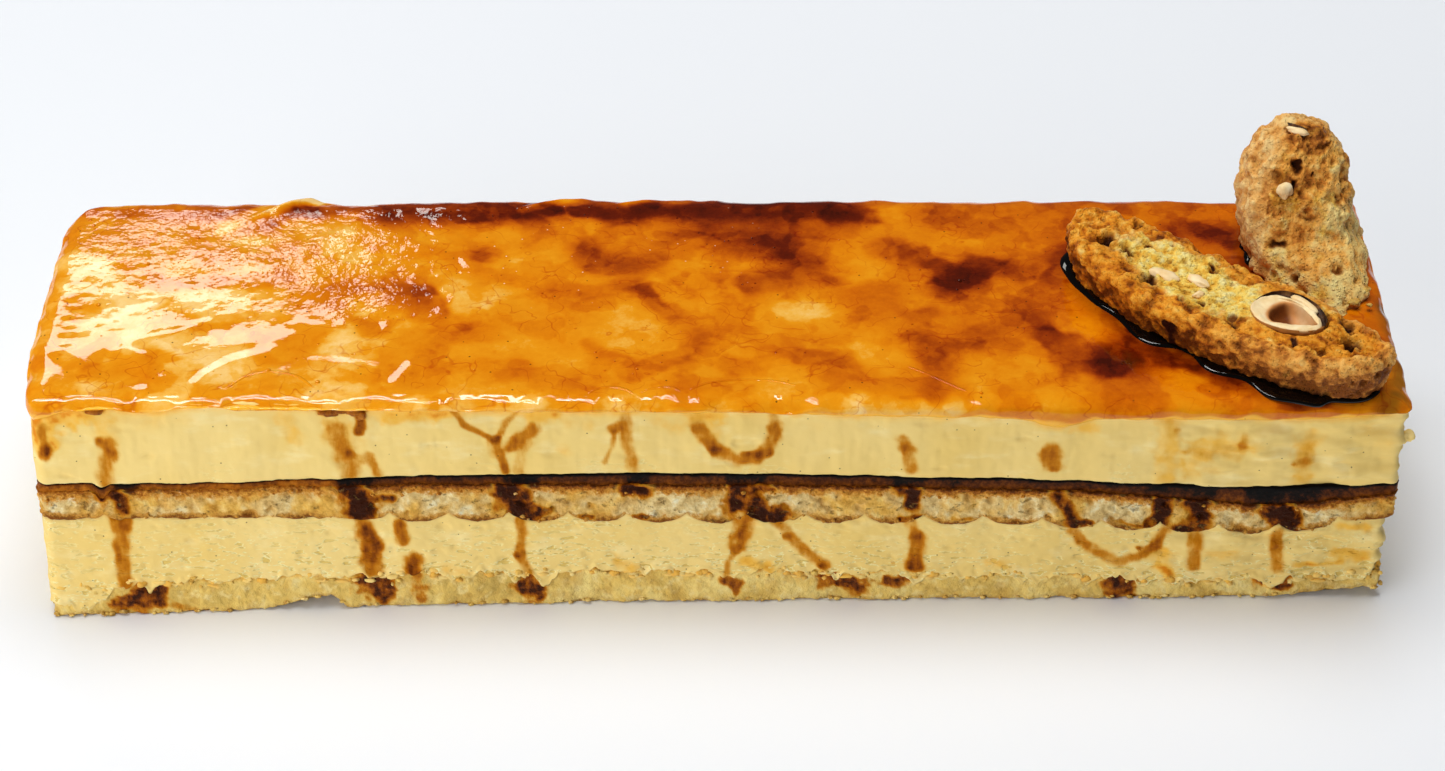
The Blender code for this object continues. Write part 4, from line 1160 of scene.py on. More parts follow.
def mousse_paint(stains, amber, pitted, caramel):
    """The coffee runs, amber smears and pits of a mousse, with caramel seeping in from above or not; the seep
    also serves as painted shade under the glaze's lip.
    """
    def paint(girths, z, above, below, rings):
        # amber near the top: caramel seeping in, and painted shade under the glaze's lip
        seep_and_lip_shade = smooth(1 - below / 3.5) * smooth(0.6 + lumps(spots(girths, 0.0, 8.0), 14.0, 2))
        return {
            "stain": stained(girths, z, stains, 0.3, 1.4, 1.4, 0.3),
            "amber": np.maximum(stained(girths, z, amber, 0.6, 1.8, 1.5), caramel * seep_and_lip_shade),
            "pits": pitted * (0.5 + 0.5 * smooth(1 - above / 12)),
        }
    return paint


def syrup_depth(girths):
    """How thick the syrup lies along the side, 0 to 1."""
    thick = 0.56 * step(girths, -88, -74)
    for left, right in SYRUP_BLACK:
        thick = np.maximum(thick, smooth((girths - left + 2) / 3) * smooth((right + 2 - girths) / 3))
    elsewhere = smooth(lumps(spots(girths, 0.0, 25.0), 16.0, 2) * 2)
    return np.where(np.abs(girths) < HALF_LENGTH, thick, elsewhere)


def ladyfinger_paint(girths, z, above, below, rings):
    ragged = 0.9 * lumps(spots(girths, 0.0, 5.0), 4.0, 3)
    swell = ridge_swell(rings[..., 0])
    browned = 1.9 * (0.35 + 0.65 * swell) + 0.6 + 0.5 * ragged
    return {
        "stain": stained(girths, z, LADYFINGER_STAINS + random_runs(5, 14, 21, 31)),
        "soak": np.clip(1 - below / (3.4 + 1.4 * ragged), 0, 1) * (0.75 + 0.4 * syrup_depth(girths)),
        "crust": np.clip(1.15 - above / browned, 0, 1) * (0.3 + 0.7 * swell),
    }


def base_paint(girths, z, above, below, rings):
    ragged = 1.0 * lumps(spots(girths, 0.0, 15.0), 3.0, 3)
    return {
        "stain": stained(girths, z, BASE_STAINS + random_runs(6, 8, 2, 7), 0.6, 1.3),
        "yolk": np.clip(1 - below / (1.3 + ragged), 0, 1),
        "foot": np.clip(1 - above / 1.4, 0, 1),
    }


def syrup_paint(girths, z, above, below, rings):
    return {"thick": syrup_depth(girths), "rise": above / np.maximum(above + below, 0.1)}


def ragged_foot(x, y):
    return base_underside(x, y) + 0.35 * smooth(lumps(spots(x, y, 90.0), 1.6, 2) * 1.5)


def lower_mousse_foot(x, y):
    smeared = smooth((SMEAR_LEFT - x + 4 * lumps(spots(x, y, 81.0), 5.0, 2)) / 6) * step(y, -30, -36)
    return base_top(x, y) - 0.2 - dripping(x, y, 4.2) - smeared * (base_top(x, y) - SMEAR_FOOT)


LOWER_RUNS = LOWER_STAINS + random_runs(3, 12, 9, 24)
UPPER_RUNS = UPPER_STAINS + random_runs(2, 12, 36, 52)
LAYERS = [  # solid, piece, underside, top, overlap with the next layer, courses; relief, paint, finish, slot
    ("sponge_base", "base_sponge", ragged_foot, base_top, 0.0, 18,
     base_relief, base_paint, BASE, "sponge"),
    ("mousse_lower", "lower_mousse", lower_mousse_foot, ladyfinger_underside, 0.3, 34,
     lower_mousse_relief, mousse_paint(LOWER_RUNS, LOWER_AMBER, 1.0, 0.0), MOUSSE, "mousse"),
    ("ladyfinger_sponge", "ladyfinger_layer", ladyfinger_underside, ladyfinger_top, 0.2, 24,
     sponge_relief, ladyfinger_paint, LADYFINGER, "sponge"),
    ("coffee_syrup", "coffee_syrup_band", ladyfinger_top, syrup_top, 0.2, 7,
     syrup_relief, syrup_paint, SYRUP, "coffee_syrup"),
    ("mousse_upper", "upper_mousse", syrup_top, mousse_top, 0.3, 38,
     mousse_relief, mousse_paint(UPPER_RUNS, UPPER_AMBER, 0.35, 0.6), MOUSSE, "mousse"),
]
for node, piece, underside, top, overlap, courses, relief, paint, finish, slot in LAYERS:
    dress(slab(node, piece, underside, top, overlap, courses, relief, paint), finish, slot, node)

# ---------------------------------------------------------------- the glaze


def veil(x, y, stains, spread):
    """Overlapping patches round the paths, drawn out unevenly, with their edges crisp here and soft there."""
    bent_x = x + 3.0 * lumps(spots(x, y, 60.0), 11.0, 2) + 1.4 * lumps(spots(x, y, 64.0), 4.5, 2)
    bent_y = y + 2.4 * lumps(spots(x, y, 62.0), 11.0, 2) + 1.2 * lumps(spots(x, y, 66.0), 4.5, 2)
    soft = 0.5 + 1.7 * smooth(0.5 + 1.6 * lumps(spots(x, y, 68.0), 8.0))
    clear = np.ones(np.shape(x))
    for path, half_width, force in stains:
        distance = far_from(bent_x, bent_y, path) / (spread * half_width + 0.7)
        clear = clear * (1 - force * smooth((1.0 + soft / 2 - distance) / soft))
    return 1 - clear


def glaze_tone(x, y):
    """How dark the caramel is, from 0 clear to 1 burnt."""
    ground = GROUND_TONE
    for darker, *stretches in TONE_SLOPES:
        for axis, start, end in stretches:
            darker = darker * step(x if axis == "x" else y, start, end)
        ground = ground + darker
    ground = ground - 0.3 * curls(x, y) + 0.10 * lumps(spots(x / 1.2, y, 40.0), 13.0, 2)
    return ground + BURNT_TONE * veil(x, y, BURNT, 1.45) - PALE_TONE * veil(x, y, PALE, 1.25)


def crinkled(x, y):
    """Where the glaze's skin is finely crinkled: at the left, but not in its front."""
    ragged = 9.0 * lumps(spots(x, y, 70.0), 14.0, 2)
    quiet = smooth((-96 + ragged - x) / 14) * smooth((18 + ragged - y) / 10)
    return smooth((-52 + ragged - x) / 30) * smooth((y + 14 + 0.6 * ragged) / 12) * (1 - 0.65 * quiet)


def pour_glaze():
    """The glaze from its hidden underside up the lip and in over the top, and what its finish reads."""
    plan = [(inset, 0.0, "under") for inset in GLAZE_HIDDEN_INSETS]
    plan += [(0.0, k / LIP_COURSES, "lip") for k in range(LIP_COURSES)]
    insets = np.concatenate([np.linspace(0.0, GLAZE_ROLL_REACH, 13), np.linspace(5.7, HALF_DEPTH, 47)])
    plan += [(inset, 1.0, "top") for inset in insets]
    rings, paints = [], {label: [] for label in ("tone", "olive", "edge", "skin", "painted_glint_zone")}
    for inset, share, part in plan:
        x, y, out_x, out_y = ring(inset)
        low, high = mousse_top(x, y), glaze_top(x, y)
        z = high if part == "top" else low + (high - low) * share
        bulge = LIP_BULGE * math.sin(math.pi * min(share, 0.9)) if part == "lip" else 0.0
        waver = 0.0 * x if part == "under" else LIP_WAVER * lumps(spots(x, y, z), 6.0, 2)
        push = (bulge + waver) * max(0.0, 1 - inset / 3)
        lean_x, lean_y = lean("caramel_glaze", x, y, z)
        rings.append(spots(lean_x + out_x * push, lean_y + out_y * push, z))
        tone, edge = glaze_tone(x, y), 0.0 * x
        if part != "top":
            tone = np.minimum(tone - 0.04, 0.6 - 0.2 * step(x, 50, 90))
            edge = smooth((0.42 + 0.4 * lumps(spots(x, y, 0.0), 7.0, 2) - share) / 0.25)
        # the patchy zone at the left and back where the painted highlight dots go
        glint_patches = smooth(0.5 + 2 * lumps(spots(x, y, 33.0), 14.0))
        paints["tone"].append(tone)
        paints["olive"].append(stained(x, y, OLIVE, 0.4, 1.5))
        paints["edge"].append(edge)
        paints["skin"].append(crinkled(x, y))
        paints["painted_glint_zone"].append(step(x, 20, -20) * step(y, -8, 6) * glint_patches)
    paints = {label: np.array(values) for label, values in paints.items()}
    return loft("poured_glaze", np.array(rings), paints, pinched=True)


dress(pour_glaze(), GLAZE, "caramel", "caramel_glaze")

# ---------------------------------------------------------------- the biscuits


def superellipse(angle, half_x, half_y, squareness):
    """An oval with squarish ends."""
    c, s = np.cos(angle), np.sin(angle)
    size = (np.abs(c) ** squareness + np.abs(s) ** squareness) ** (-1 / squareness)
    return size * c * half_x, size * s * half_y


def outward(rings):
    """The way out of the skin at every point of a set of rings."""
    round_way = np.roll(rings, -1, axis=1) - np.roll(rings, 1, axis=1)
    up_way = np.gradient(rings, axis=0)
    normal = np.cross(round_way, up_way)
    return normal / np.maximum(np.linalg.norm(normal, axis=-1, keepdims=True), 1e-6)


def crumbled(rings, crumb):
    """Crust is knobbly and nearly closed, crumb is torn and full of holes. Gives rings, hole depths painted
    as shade, and knobs painted as light and shade.
    """
    way = outward(rings)
    knobs = 0.50 * lumps(rings, 3.4, 3) + 0.34 * grains(rings, 2.0) + 0.16 * grains(rings, 1.0)
    torn = 0.55 * lumps(rings, 3.0, 3) + 0.30 * grains(rings, 1.6) + 0.15 * grains(rings, 0.9)
    big, small = holes(rings, 3.6, 0.16), holes(rings, 1.9, 0.25)
    depth = (1 - crumb) * (knobs - 0.6 * small - 0.5 * big) + crumb * (torn - 1.5 * big - 0.9 * small)
    # how raised each point is, which the finish paints lighter on knobs and darker between them as painted
    # light and shade
    knob = np.where(crumb > 0.5, torn, knobs) * 1.2
    return rings + way * depth[..., None], np.maximum(0.9 * big, 0.6 * small) * (0.4 + 0.6 * crumb), knob


LYING_HOLES = [  # along and across the biscuit from its centre, radius
    (-14.0, -10.4, 1.7), (33.1, -0.5, 2.2), (28.6, 4.2, 1.7), (2.9, 4.3, 1.0), (-24.8, -4.8, 1.5),
    (-30.8, -3.6, 1.7), (-0.2, -10.0, 1.1), (-28.6, 5.4, 1.2), (9.6, -11.6, 1.2), (-22.0, 0.5, 1.0),
    (24.0, -9.5, 1.0), (-6.0, 2.6, 0.9),
]


def biscuit_place(along, across):
    """From along and across the lying biscuit to the cake's plan."""
    return turned(along, across, LYING_TURN, LYING_CENTRE)


def bend(along):
    """How far the lying biscuit's middle line bows to the front."""
    return LYING_BEND * (1 - (2 * along / LYING_LENGTH) ** 2)


def from_nut(x, y):
    """How far out from the hazelnut's middle, with 1 at its edge."""
    along, across = turned(x - NUT_CENTRE[0], y - NUT_CENTRE[1], -NUT_TURN, (0.0, 0.0))
    return np.hypot(along / (NUT_LENGTH / 2), across / (NUT_WIDTH / 2))


def syrup_at(along, across):
    """Where the syrup stands at the lying biscuit's foot, 0 to 1."""
    full = 0.0
    for share, start, end, fade, limit in SYRUP_REACHES:
        full = full + share * shelf(along, start, end, fade) * (across < limit)
    return np.clip(full, 0, 1)


def lying_biscuit():
    steps, courses = ((600, 112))
    stations = np.linspace(0, len(LYING_PROFILE) - 1, courses)
    angle = round_angles(steps)
    rings, crumb, alongs, acrosses = [], [], [], []
    for inset, height in zip(*columns_through(LYING_PROFILE, stations)):
        half_long, half_wide = LYING_LENGTH / 2 - inset, max(LYING_WIDTH / 2 - inset, 0.0)
        px, py = superellipse(angle, half_long, half_wide, LYING_SQUARENESS)
        py = py - bend(px)
        x, y = biscuit_place(px, py)
        away = spots(x, y) - LYING_CENTRE
        away = away / np.maximum(np.linalg.norm(away, axis=-1, keepdims=True), 1e-6)
        side = CRUST_ROUGH * smooth(height) * (1 - step(inset, 2, 6))
        rise = CRUMB_ROUGH * step(height, 6, 10)
        shift = side * lumps(spots(x, y, height), CRUMB_SIZE)
        x, y = x + away[..., 0] * shift, y + away[..., 1] * shift
        z = GLAZE_TOP + 0.1 + height + rise * lumps(spots(x, y, 0.0), CRUMB_SIZE)
        rings.append(spots(x, y, z))
        crumb.append(np.full(steps, step(inset, 1, 4) * step(height, 9, 10.2)))
        alongs.append(px)
        acrosses.append(py)
    rings, crumb, along, across = (np.array(each) for each in (rings, crumb, alongs, acrosses))
    off_middle = np.hypot((along + 6) / 22, (across + bend(along)) / 8.6) + 0.30 * lumps(rings, 5.0, 3)
    pale = step(off_middle, 1.25, 0.55) * crumb
    rings, hole_shade, knob = crumbled(rings, crumb)
    top = smooth((rings[..., 2] - GLAZE_TOP - 7) / 3)
    bent = 1.3 * lumps(rings, 2.6, 2)
    for at_along, at_across, radius in LYING_HOLES:
        dip = top * smooth(1.5 - np.hypot(along + bent - at_along, across - bent - at_across) / radius)
        rings[..., 2] -= 1.5 * radius * dip
        hole_shade = np.maximum(hole_shade, 1.2 * dip)
    out = from_nut(rings[..., 0], rings[..., 1])
    pocket = top * step(out, 1, 0.9)
    rings[..., 2] = rings[..., 2] * (1 - pocket) + (GLAZE_TOP + NUT_POCKET_FLOOR) * pocket
    rim = top * (1 - pocket) * step(out, 1.5, 1.1)
    rings[..., 2] += rim * 0.8 * (CUT_FACE - 0.3 - rings[..., 2])
    low = rings[..., 2] - GLAZE_TOP
    wet = syrup_at(along, across)
    # The crust's side wall is darker low down, and in front near the right end: darker crust, and painted
    # shade.
    knob = knob - 0.75 * step(low, 9.5, 4.5) * (1 - crumb)
    knob = knob - 0.1 * step(along, 14, 26) * step(low, 8.5, 4.5) * (1 - crumb) * (across < 0)
    climb = 2.6 * shelf(along, 19, 36, 4)
    foot = 0.8 * wet * smooth(1 - low / (1.3 + climb + 1.2 * lumps(rings, 3.0, 2)))
    drip = stained(along, low, [([(-3.6, 0), (-2.8, 3), (-3.4, 6.0)], 0.9, 0.9)], 0.9, 1.3) * (across < -6)
    stripe = stained(across, low, [([(-3, 1.5), (-2.4, 8)], 1.2, 0.8)], 0.3, 0.8) * (along < -36)
    dark = np.maximum(foot, np.maximum(drip, stripe) * (1 - crumb))
    gold = 0.75 * step(along, -5, 35) * (1 - crumb)
    paints = {"crumb": pale, "hole_shade": hole_shade, "dark": dark, "gold": gold, "knob": knob}
    return loft("lying_biscuit", rings, paints, pinched=True)


CREVICES = [  # in the standing biscuit's crumb: x, height, half width, half height, how dark its painted shade is
    (131.6, 24.4, 0.9, 1.7, 1.2), (130.4, 20.2, 0.8, 1.3, 1.2), (127.4, 8.6, 1.6, 0.9, 1.1),
    (134.6, 22.0, 0.4, 0.4, 1.2), (137.5, 27.4, 1.4, 0.6, 0.8), (141.5, 16.0, 0.7, 1.4, 0.6),
    (134.0, 14.2, 1.5, 0.6, 0.7),
]


def standing_biscuit():
    steps, courses = ((400, 128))
    sides = [[(section[0], section[side]) for section in STANDING_SECTIONS] for side in (1, 2, 3, 4)]
    tall = STANDING_SECTIONS[-1][0]
    angle = round_angles(steps)
    rings, crumb = [], []
    for course in range(courses + 12):
        share = min(course / courses, 1.0)
        height = tall * math.sin(math.pi / 2 * share)
        x_low, x_high, y_low, y_high = (float(through(side, height)) for side in sides)
        closing = 1.0 if course <= courses else 1 - (course - courses) / 11
        half_x, half_y = (x_high - x_low) / 2 * closing, (y_high - y_low) / 2 * closing
        out_x, out_y = superellipse(angle, half_x, half_y, STANDING_SQUARENESS)
        x, y = (x_low + x_high) / 2 + out_x, (y_low + y_high) / 2 + out_y
        torn = smooth(0.5 - out_y / max(half_y, 1e-3))
        rough = smooth(height) * (CRUST_ROUGH + torn * (CRUMB_ROUGH - CRUST_ROUGH))
        length = np.maximum(np.hypot(out_x, out_y), 1e-6)
        shift = rough * lumps(spots(x, y, height), CRUMB_SIZE)
        x, y = x + out_x / length * shift, y + out_y / length * shift
        z = GLAZE_TOP + 0.1 + height + rough * smooth(height / tall) * lumps(spots(x, y, 0.0), CRUMB_SIZE)
        front = np.clip(-out_y / max(half_y, 1e-3), 0, 1) ** 2
        right = np.clip(out_x / max(half_x, 1e-3), 0, 1)
        flare = max(0.0, 1 - height / FLARE_HEIGHT) ** 1.2
        spread = (0.35 + 0.65 * step(out_x, -8, 6)) * (1 + 0.2 * lumps(spots(x, y, 2.0), 5.0))
        y = y - FLARE_FRONT * flare * front * spread
        x = x + FLARE_RIGHT * flare * right * (0.6 + 0.4 * front)
        rings.append(spots(x, y, z))
        crumb.append(torn * smooth((out_x / length + 0.75) * 3))
    rings, crumb = np.array(rings), np.array(crumb)
    plain = rings.copy()
    rings, hole_shade, knob = crumbled(rings, 0.15 + 0.75 * crumb)
    wrinkles = 0.5 * lumps(plain * (1.0, 1.0, 0.2), 2.2, 2) * (1 - crumb)
    rings = rings + outward(plain) * wrinkles[..., None]
    high = (plain[..., 2] - GLAZE_TOP) / tall
    pale = crumb * (0.14 + 0.26 * smooth(lumps(plain, 8.0, 2) * 2 + 0.3)) * (1 - 0.6 * step(high, 0.7, 0.9))
    burnt_grain = smooth(lumps(plain, 6.0, 2) * 2.5) * step(high, 0.3, 0.6)
    # lighter low down, and lighter on the right side as painted light
    lighter_low_and_lit_right = 0.38 * step(high, 0.65, 0.25) + 0.42 * step(plain[..., 0], 136, 140)
    knob = knob + crumb * (lighter_low_and_lit_right - 0.8 * burnt_grain) + 0.35 * (1 - crumb)
    bent = 1.3 * lumps(plain, 2.6, 2)
    for x_at, height, half_wide, half_high, crevice_shade in CREVICES:
        off_x, off_z = plain[..., 0] + bent - x_at, plain[..., 2] + bent - GLAZE_TOP - height
        dip = crumb * smooth(1.6 - np.hypot(off_x / half_wide, off_z / half_high))
        rings = rings + np.array((0.1, 0.9, -0.3)) * (1.5 * min(half_wide, half_high) * dip)[..., None]
        hole_shade = np.maximum(hole_shade, crevice_shade * dip)
    foot = 0.6 * smooth(1 - (plain[..., 2] - GLAZE_TOP) / 1.2) * step(plain[..., 0], 126, 122)
    paints = {"crumb": pale, "hole_shade": hole_shade, "dark": foot, "gold": 1.4 - 0.8 * crumb, "knob": knob}
    return loft("standing_biscuit", rings, paints, pinched=True)


dress(lying_biscuit(), BISCUIT, "biscuit", "biscuit_lying")
dress(standing_biscuit(), BISCUIT, "biscuit", "biscuit_standing")


def far_along(path):
    return sum(math.hypot(bx - ax, by - ay) for (ax, ay), (bx, by) in zip(path, path[1:]))


def bead(path, half_width, rise, ground):
    """Rings along a path for a flattened bead of liquid that lies on the glaze."""
    count = max(8, int(far_along(path) / 0.6))
    x, y = columns_through(path, np.linspace(0, len(path) - 1, count))
    way = spots(np.gradient(x), np.gradient(y))
    way = way / np.linalg.norm(way, axis=-1, keepdims=True)
    ends = np.sqrt(np.clip(1 - np.abs(np.linspace(-1, 1, count)) ** 6, 0.0, 1))
    width = half_width * ends * (1 + 0.45 * lumps(spots(x, y, 50.0), 5.0, 2))
    angle = round_angles(14)
    across, up = np.cos(angle), np.sin(angle)
    px = x[:, None] - way[:, 1, None] * across * width[:, None]
    py = y[:, None] + way[:, 0, None] * across * width[:, None]
    level = ground(x, y)[:, None] if callable(ground) else ground
    pz = level + np.where(up > 0, rise, 0.5) * up * ends[:, None]
    return spots(px, py, pz + 0.0 * px)


def hazelnut():
    """Half a nut, flat side up: a loose dark skin, a cream kernel set to the left and its browned hollow."""
    angle = round_angles(120)
    rings, skin, brown = [], [], []
    columns = columns_through(NUT_PROFILE, np.linspace(0, len(NUT_PROFILE) - 1, 58))
    for half_long, half_wide, along, across, height, skinned, browned in zip(*columns):
        narrow = 1 - (0.2 + 0.62 * step(half_long, 7.4, 6.4)) * np.cos(angle)
        px = along + max(half_long, 0.0) * np.cos(angle)
        py = across + max(half_wide, 0.0) * np.sin(angle) * narrow
        x, y = turned(px, py, NUT_TURN, NUT_CENTRE)
        rings.append(spots(x, y, CUT_FACE + height + 0.25 * np.cos(angle) * step(half_long, 8.2, 7.2)))
        patchy = smooth(0.55 + 1.2 * np.sin(angle) + 0.5 * lumps(spots(px, py, 2.0), 3.0))
        skin.append(skinned * (0.5 + 0.5 * patchy))
        brown.append(np.clip(browned * (1 - 0.72 * smooth((px + 0.8 * py + 2.6) / 6.5)), 0, 1.2))
    rings = np.array(rings)
    rings = rings + outward(rings) * (0.28 * lumps(rings, 3.0, 3))[..., None]
    shape = canvas(("skin", "brown"))
    grow(shape, rings, {"skin": np.array(skin), "brown": np.array(brown)}, True)
    sliver = [turned(along, across, NUT_TURN, NUT_CENTRE) for along, across in SECOND_PIECE]
    crescent = bead(sliver, 0.95, 0.75, CUT_FACE - 0.3)
    plain = np.zeros(crescent.shape[:2])
    grow(shape, crescent, {"skin": plain, "brown": plain + 0.1}, False)
    bmesh.ops.remove_doubles(shape, verts=shape.verts[:], dist=MERGE)
    return settle("hazelnut_half", shape)


dress(hazelnut(), NUT, "hazelnut", "hazelnut")

# ---------------------------------------------------------------- syrup pools, bubbles, flakes and crumbs


def puddle(foot_at, reach):
    """Rings of a shallow puddle that creeps out from under a foot, as far as its reach at each point."""
    rings = []
    full = np.clip(reach / POOL_FADE, 0, 1)
    for share, height in PUDDLE_PROFILE:
        x, y = foot_at(share if share < 0 else share * reach)
        lift = height * (0.15 + 0.75 * full) if height > 0 else -0.3
        rings.append(spots(x, y, GLAZE_TOP + 0.05 + lift))
    return np.array(rings)


def pools():
    """Black coffee syrup along the biscuits' feet."""
    angle = round_angles(360)
    centre_x, centre_y, half_x, half_y = STANDING_FOOT

    def lying_foot(out):
        half_long, half_wide = LYING_LENGTH / 2 - FOOT_INSET + out, LYING_WIDTH / 2 - FOOT_INSET + out
        px, py = superellipse(angle, half_long, half_wide, LYING_SQUARENESS)
        return biscuit_place(px, py - bend(px))

    def standing_foot(out):
        px, py = superellipse(angle, half_x + out, half_y + out, STANDING_SQUARENESS)
        return centre_x + px, centre_y + py

    px, py = superellipse(angle, LYING_LENGTH / 2, LYING_WIDTH / 2, LYING_SQUARENESS)
    reach = -0.8 + (1.0 + 0.7 * lumps(spots(px, py, 4.0), 9.0)) * POOL_REACH * syrup_at(px, py)
    for _ in range(10):
        reach = (np.roll(reach, 1) + reach + np.roll(reach, -1)) / 3
    px, py = superellipse(angle, half_x, half_y, STANDING_SQUARENESS)
    uneven = 1 + 0.5 * lumps(spots(px, py, 9.0), 4.0, 2)
    seep = -0.8 + uneven * SEEP_REACH * (px < 0) * shelf(py, -16, 3, 6)
    shape = canvas(("thick", "rise"))
    for rings in (puddle(lying_foot, reach), puddle(standing_foot, seep)):
        full = np.ones(rings.shape[:2])
        grow(shape, rings, {"thick": full, "rise": full}, False)
    return settle("syrup_pools", shape)


dress(pools(), WET_SYRUP, "coffee_syrup")


def morsels(name, finish, slot, items, labels, seed, knobbly=0.6):
    """Small torn lumps: each has a place, sizes along, out and up, values to paint, fineness and facing."""
    shape = canvas(labels)
    layers = [shape.verts.layers.float[label] for label in labels]
    for place, sizes, values, fineness, facing in items:
        made = bmesh.ops.create_icosphere(shape, subdivisions=fineness, radius=1.0)["verts"]
        turn = Matrix.Rotation(facing, 3, "Z")
        cut = Vector((place[0], place[2], seed))
        for vertex in made:
            knob = vertex.co * (1 + knobbly * noise.noise(vertex.co * 1.4 + cut))
            vertex.co = (Vector(place) + turn @ Vector([k * size for k, size in zip(knob, sizes)])) * MM
            for layer, value in zip(layers, values):
                vertex[layer] = value
    return dress(settle(name, shape), finish, slot)


def side_spot(chance, height, node):
    """A random spot on the cake's sides, half of them in front, with the way its side faces."""
    if chance.random() < 0.5:
        k = chance.randrange(LONG_STEPS)
    else:
        k = chance.randrange(LONG_STEPS, len(U))
    x, y, out_x, out_y = (value[k:k + 1] for value in ring(0.3))
    z = height(x, y)
    moved_x, moved_y = lean(node, x, y, z)
    return (moved_x[0], moved_y[0], z[0]), math.atan2(out_y[0], out_x[0]) + math.pi / 2


def crumbs_and_flakes():
    """Flakes of mousse, and crumbs of both sponges at their joints and along the foot."""
    chance = random.Random(11)
    flakes, crumbs, upper = [], [], []
    for _ in range(FLAKES):
        level = lambda x, y: base_top(x, y) - chance.uniform(-0.6, 2.2)
        place, facing = side_spot(chance, level, "mousse_lower")
        long = chance.uniform(0.5, 1.9)
        sizes = (long, 0.7, chance.uniform(0.3, 0.7))
        flakes.append((place, sizes, (0.0, chance.uniform(0, 0.5), 0.0), 2, facing))
    for _ in range(JOINT_CRUMBS):
        level = lambda x, y: base_top(x, y) - chance.uniform(-0.5, 2.4)
        place, facing = side_spot(chance, level, "sponge_base")
        size = chance.uniform(0.25, 0.7)
        crumbs.append((place, (size * 1.4, 0.7, size), (0.0, chance.uniform(0.1, 0.9), 0.0), 1, facing))
    for x in ORANGE_CRUMBS:
        at = np.array([x])
        z = base_top(at, at * 0 - HALF_DEPTH) - 0.8
        mx, my = lean("sponge_base", at, at * 0 - HALF_DEPTH + 0.3, z)
        crumbs.append(((mx[0], my[0], z[0]), (1.1, 0.8, 0.8), (0.0, 1.0, 0.0), 2, 0.0))
    for _ in range(FOOT_CRUMBS):
        level = lambda x, y: base_underside(x, y) + chance.uniform(0.3, 1.0)
        place, facing = side_spot(chance, level, "sponge_base")
        size = chance.uniform(0.25, 0.7)
        crumbs.append((place, (size * 1.5, 0.6, size * 0.7), (0.0, chance.uniform(0, 0.4), 0.8), 1, facing))
    for _ in range(SPONGE_CRUMBS):
        rim = chance.random() < 0.6
        if rim:
            level = lambda x, y: ladyfinger_underside(x, y) + chance.uniform(0.1, 0.9)
        else:
            level = lambda x, y: ladyfinger_top(x, y) - chance.uniform(0.6, 2.6)
        place, facing = side_spot(chance, level, "ladyfinger_sponge")
        size = chance.uniform(0.25, 0.6)
        values = (0.0, 0.0, 0.6) if rim else (0.0, 0.5, 0.0)
        upper.append((place, (size * 1.3, 0.7, size), values, 1, facing))
    flakes.append((END_FLAKE, (1.6, 1.3, 1.5), (0.0, 0.1, 0.0), 3, 0.0))
    morsels("mousse_flakes", MOUSSE, "mousse", flakes, ("stain", "amber", "pits"), 21)
    morsels("base_crumbs", BASE, "sponge", crumbs, ("stain", "yolk", "foot"), 22)
    morsels("ladyfinger_crumbs", LADYFINGER, "sponge", upper, ("stain", "soak", "crust"), 23)


crumbs_and_flakes()


LIP_DRIPS = [  # x, height, half length, half height, how dark
    (-84.2, 53.0, 2.2, 1.0, 0.35), (-81.6, 53.7, 2.2, 0.9, 0.3), (-78.8, 53.3, 1.9, 1.0, 0.25),
    (-77.2, 52.2, 1.1, 1.2, 0.2), (-135.2, 53.2, 1.9, 0.9, 0.35),
]


def lip_drips():
    """Burnt caramel that hangs under the lip in front."""
    items = []
    for x, z, long, tall, tone in LIP_DRIPS:
        place = (x, float(through(FRONT_TOP, np.array(x))) - 0.25, z)
        items.append((place, (long, 0.7, tall), (tone, 0.0), 3, 0.0))
    morsels("lip_drips", BURNT_DROPS, "caramel", items, ("rise", "thick"), 51, 0.35)


lip_drips()


ALMONDS = [  # along and across the lying biscuit, half length, half width, facing
    (-12.5, -6.8, 3.4, 1.7, -0.6), (-5.4, -3.6, 3.3, 1.6, -0.9), (-2.0, -8.0, 1.4, 0.9, 0.3),
]
BROKEN_NUTS = [  # in the standing biscuit: x, y and height over the glaze, sizes, skin and brown, facing
    ((128.6, 12.2, 19.8), (1.8, 1.3, 1.9), (0.0, 0.0), 0.2),
    ((131.6, 21.0, 30.4), (2.6, 1.0, 0.8), (0.0, 0.1), -0.5),
    ((131.2, 22.3, 30.3), (2.8, 0.9, 1.0), (1.0, 0.0), -0.5),
    ((136.4, 22.4, 29.4), (1.8, 1.5, 1.2), (0.2, 0.9), 0.4),
]


def nut_pieces():
    """Almond slices in the lying biscuit's crumb, and the nuts broken open in the standing one."""
    items = []
    for along, across, long, wide, facing in ALMONDS:
        x, y = biscuit_place(along, across)
        items.append(((x, y, LYING_TOP - 0.7), (long, wide, 0.8), (0.0, 0.12), 3, facing))
    for (x, y, height), sizes, values, facing in BROKEN_NUTS:
        items.append(((x, y, GLAZE_TOP + height), sizes, values, 3, facing))
    morsels("nut_pieces", NUT, "hazelnut", items, ("skin", "brown"), 24, 0.4)


nut_pieces()


def rubble():
    """Torn crumbs on the standing biscuit's foot."""
    chance = random.Random(31)
    items = []
    for _ in range(RUBBLE):
        x = chance.uniform(128, 147)
        y = 2.5 - 0.45 * (x - 128) + chance.uniform(-1.0, 5.0)
        size = chance.uniform(0.6, 1.5)
        values = (chance.uniform(0, 0.5), 0.0, 0.0, 0.4, chance.uniform(-0.2, 0.5))
        items.append(((x, y, GLAZE_TOP + 1.2 + size * 0.2), (size * 1.2, size, size * 0.8), values, 2, 0.0))
    morsels("biscuit_rubble", BISCUIT, "biscuit", items, ("crumb", "hole_shade", "dark", "gold", "knob"), 32)


rubble()


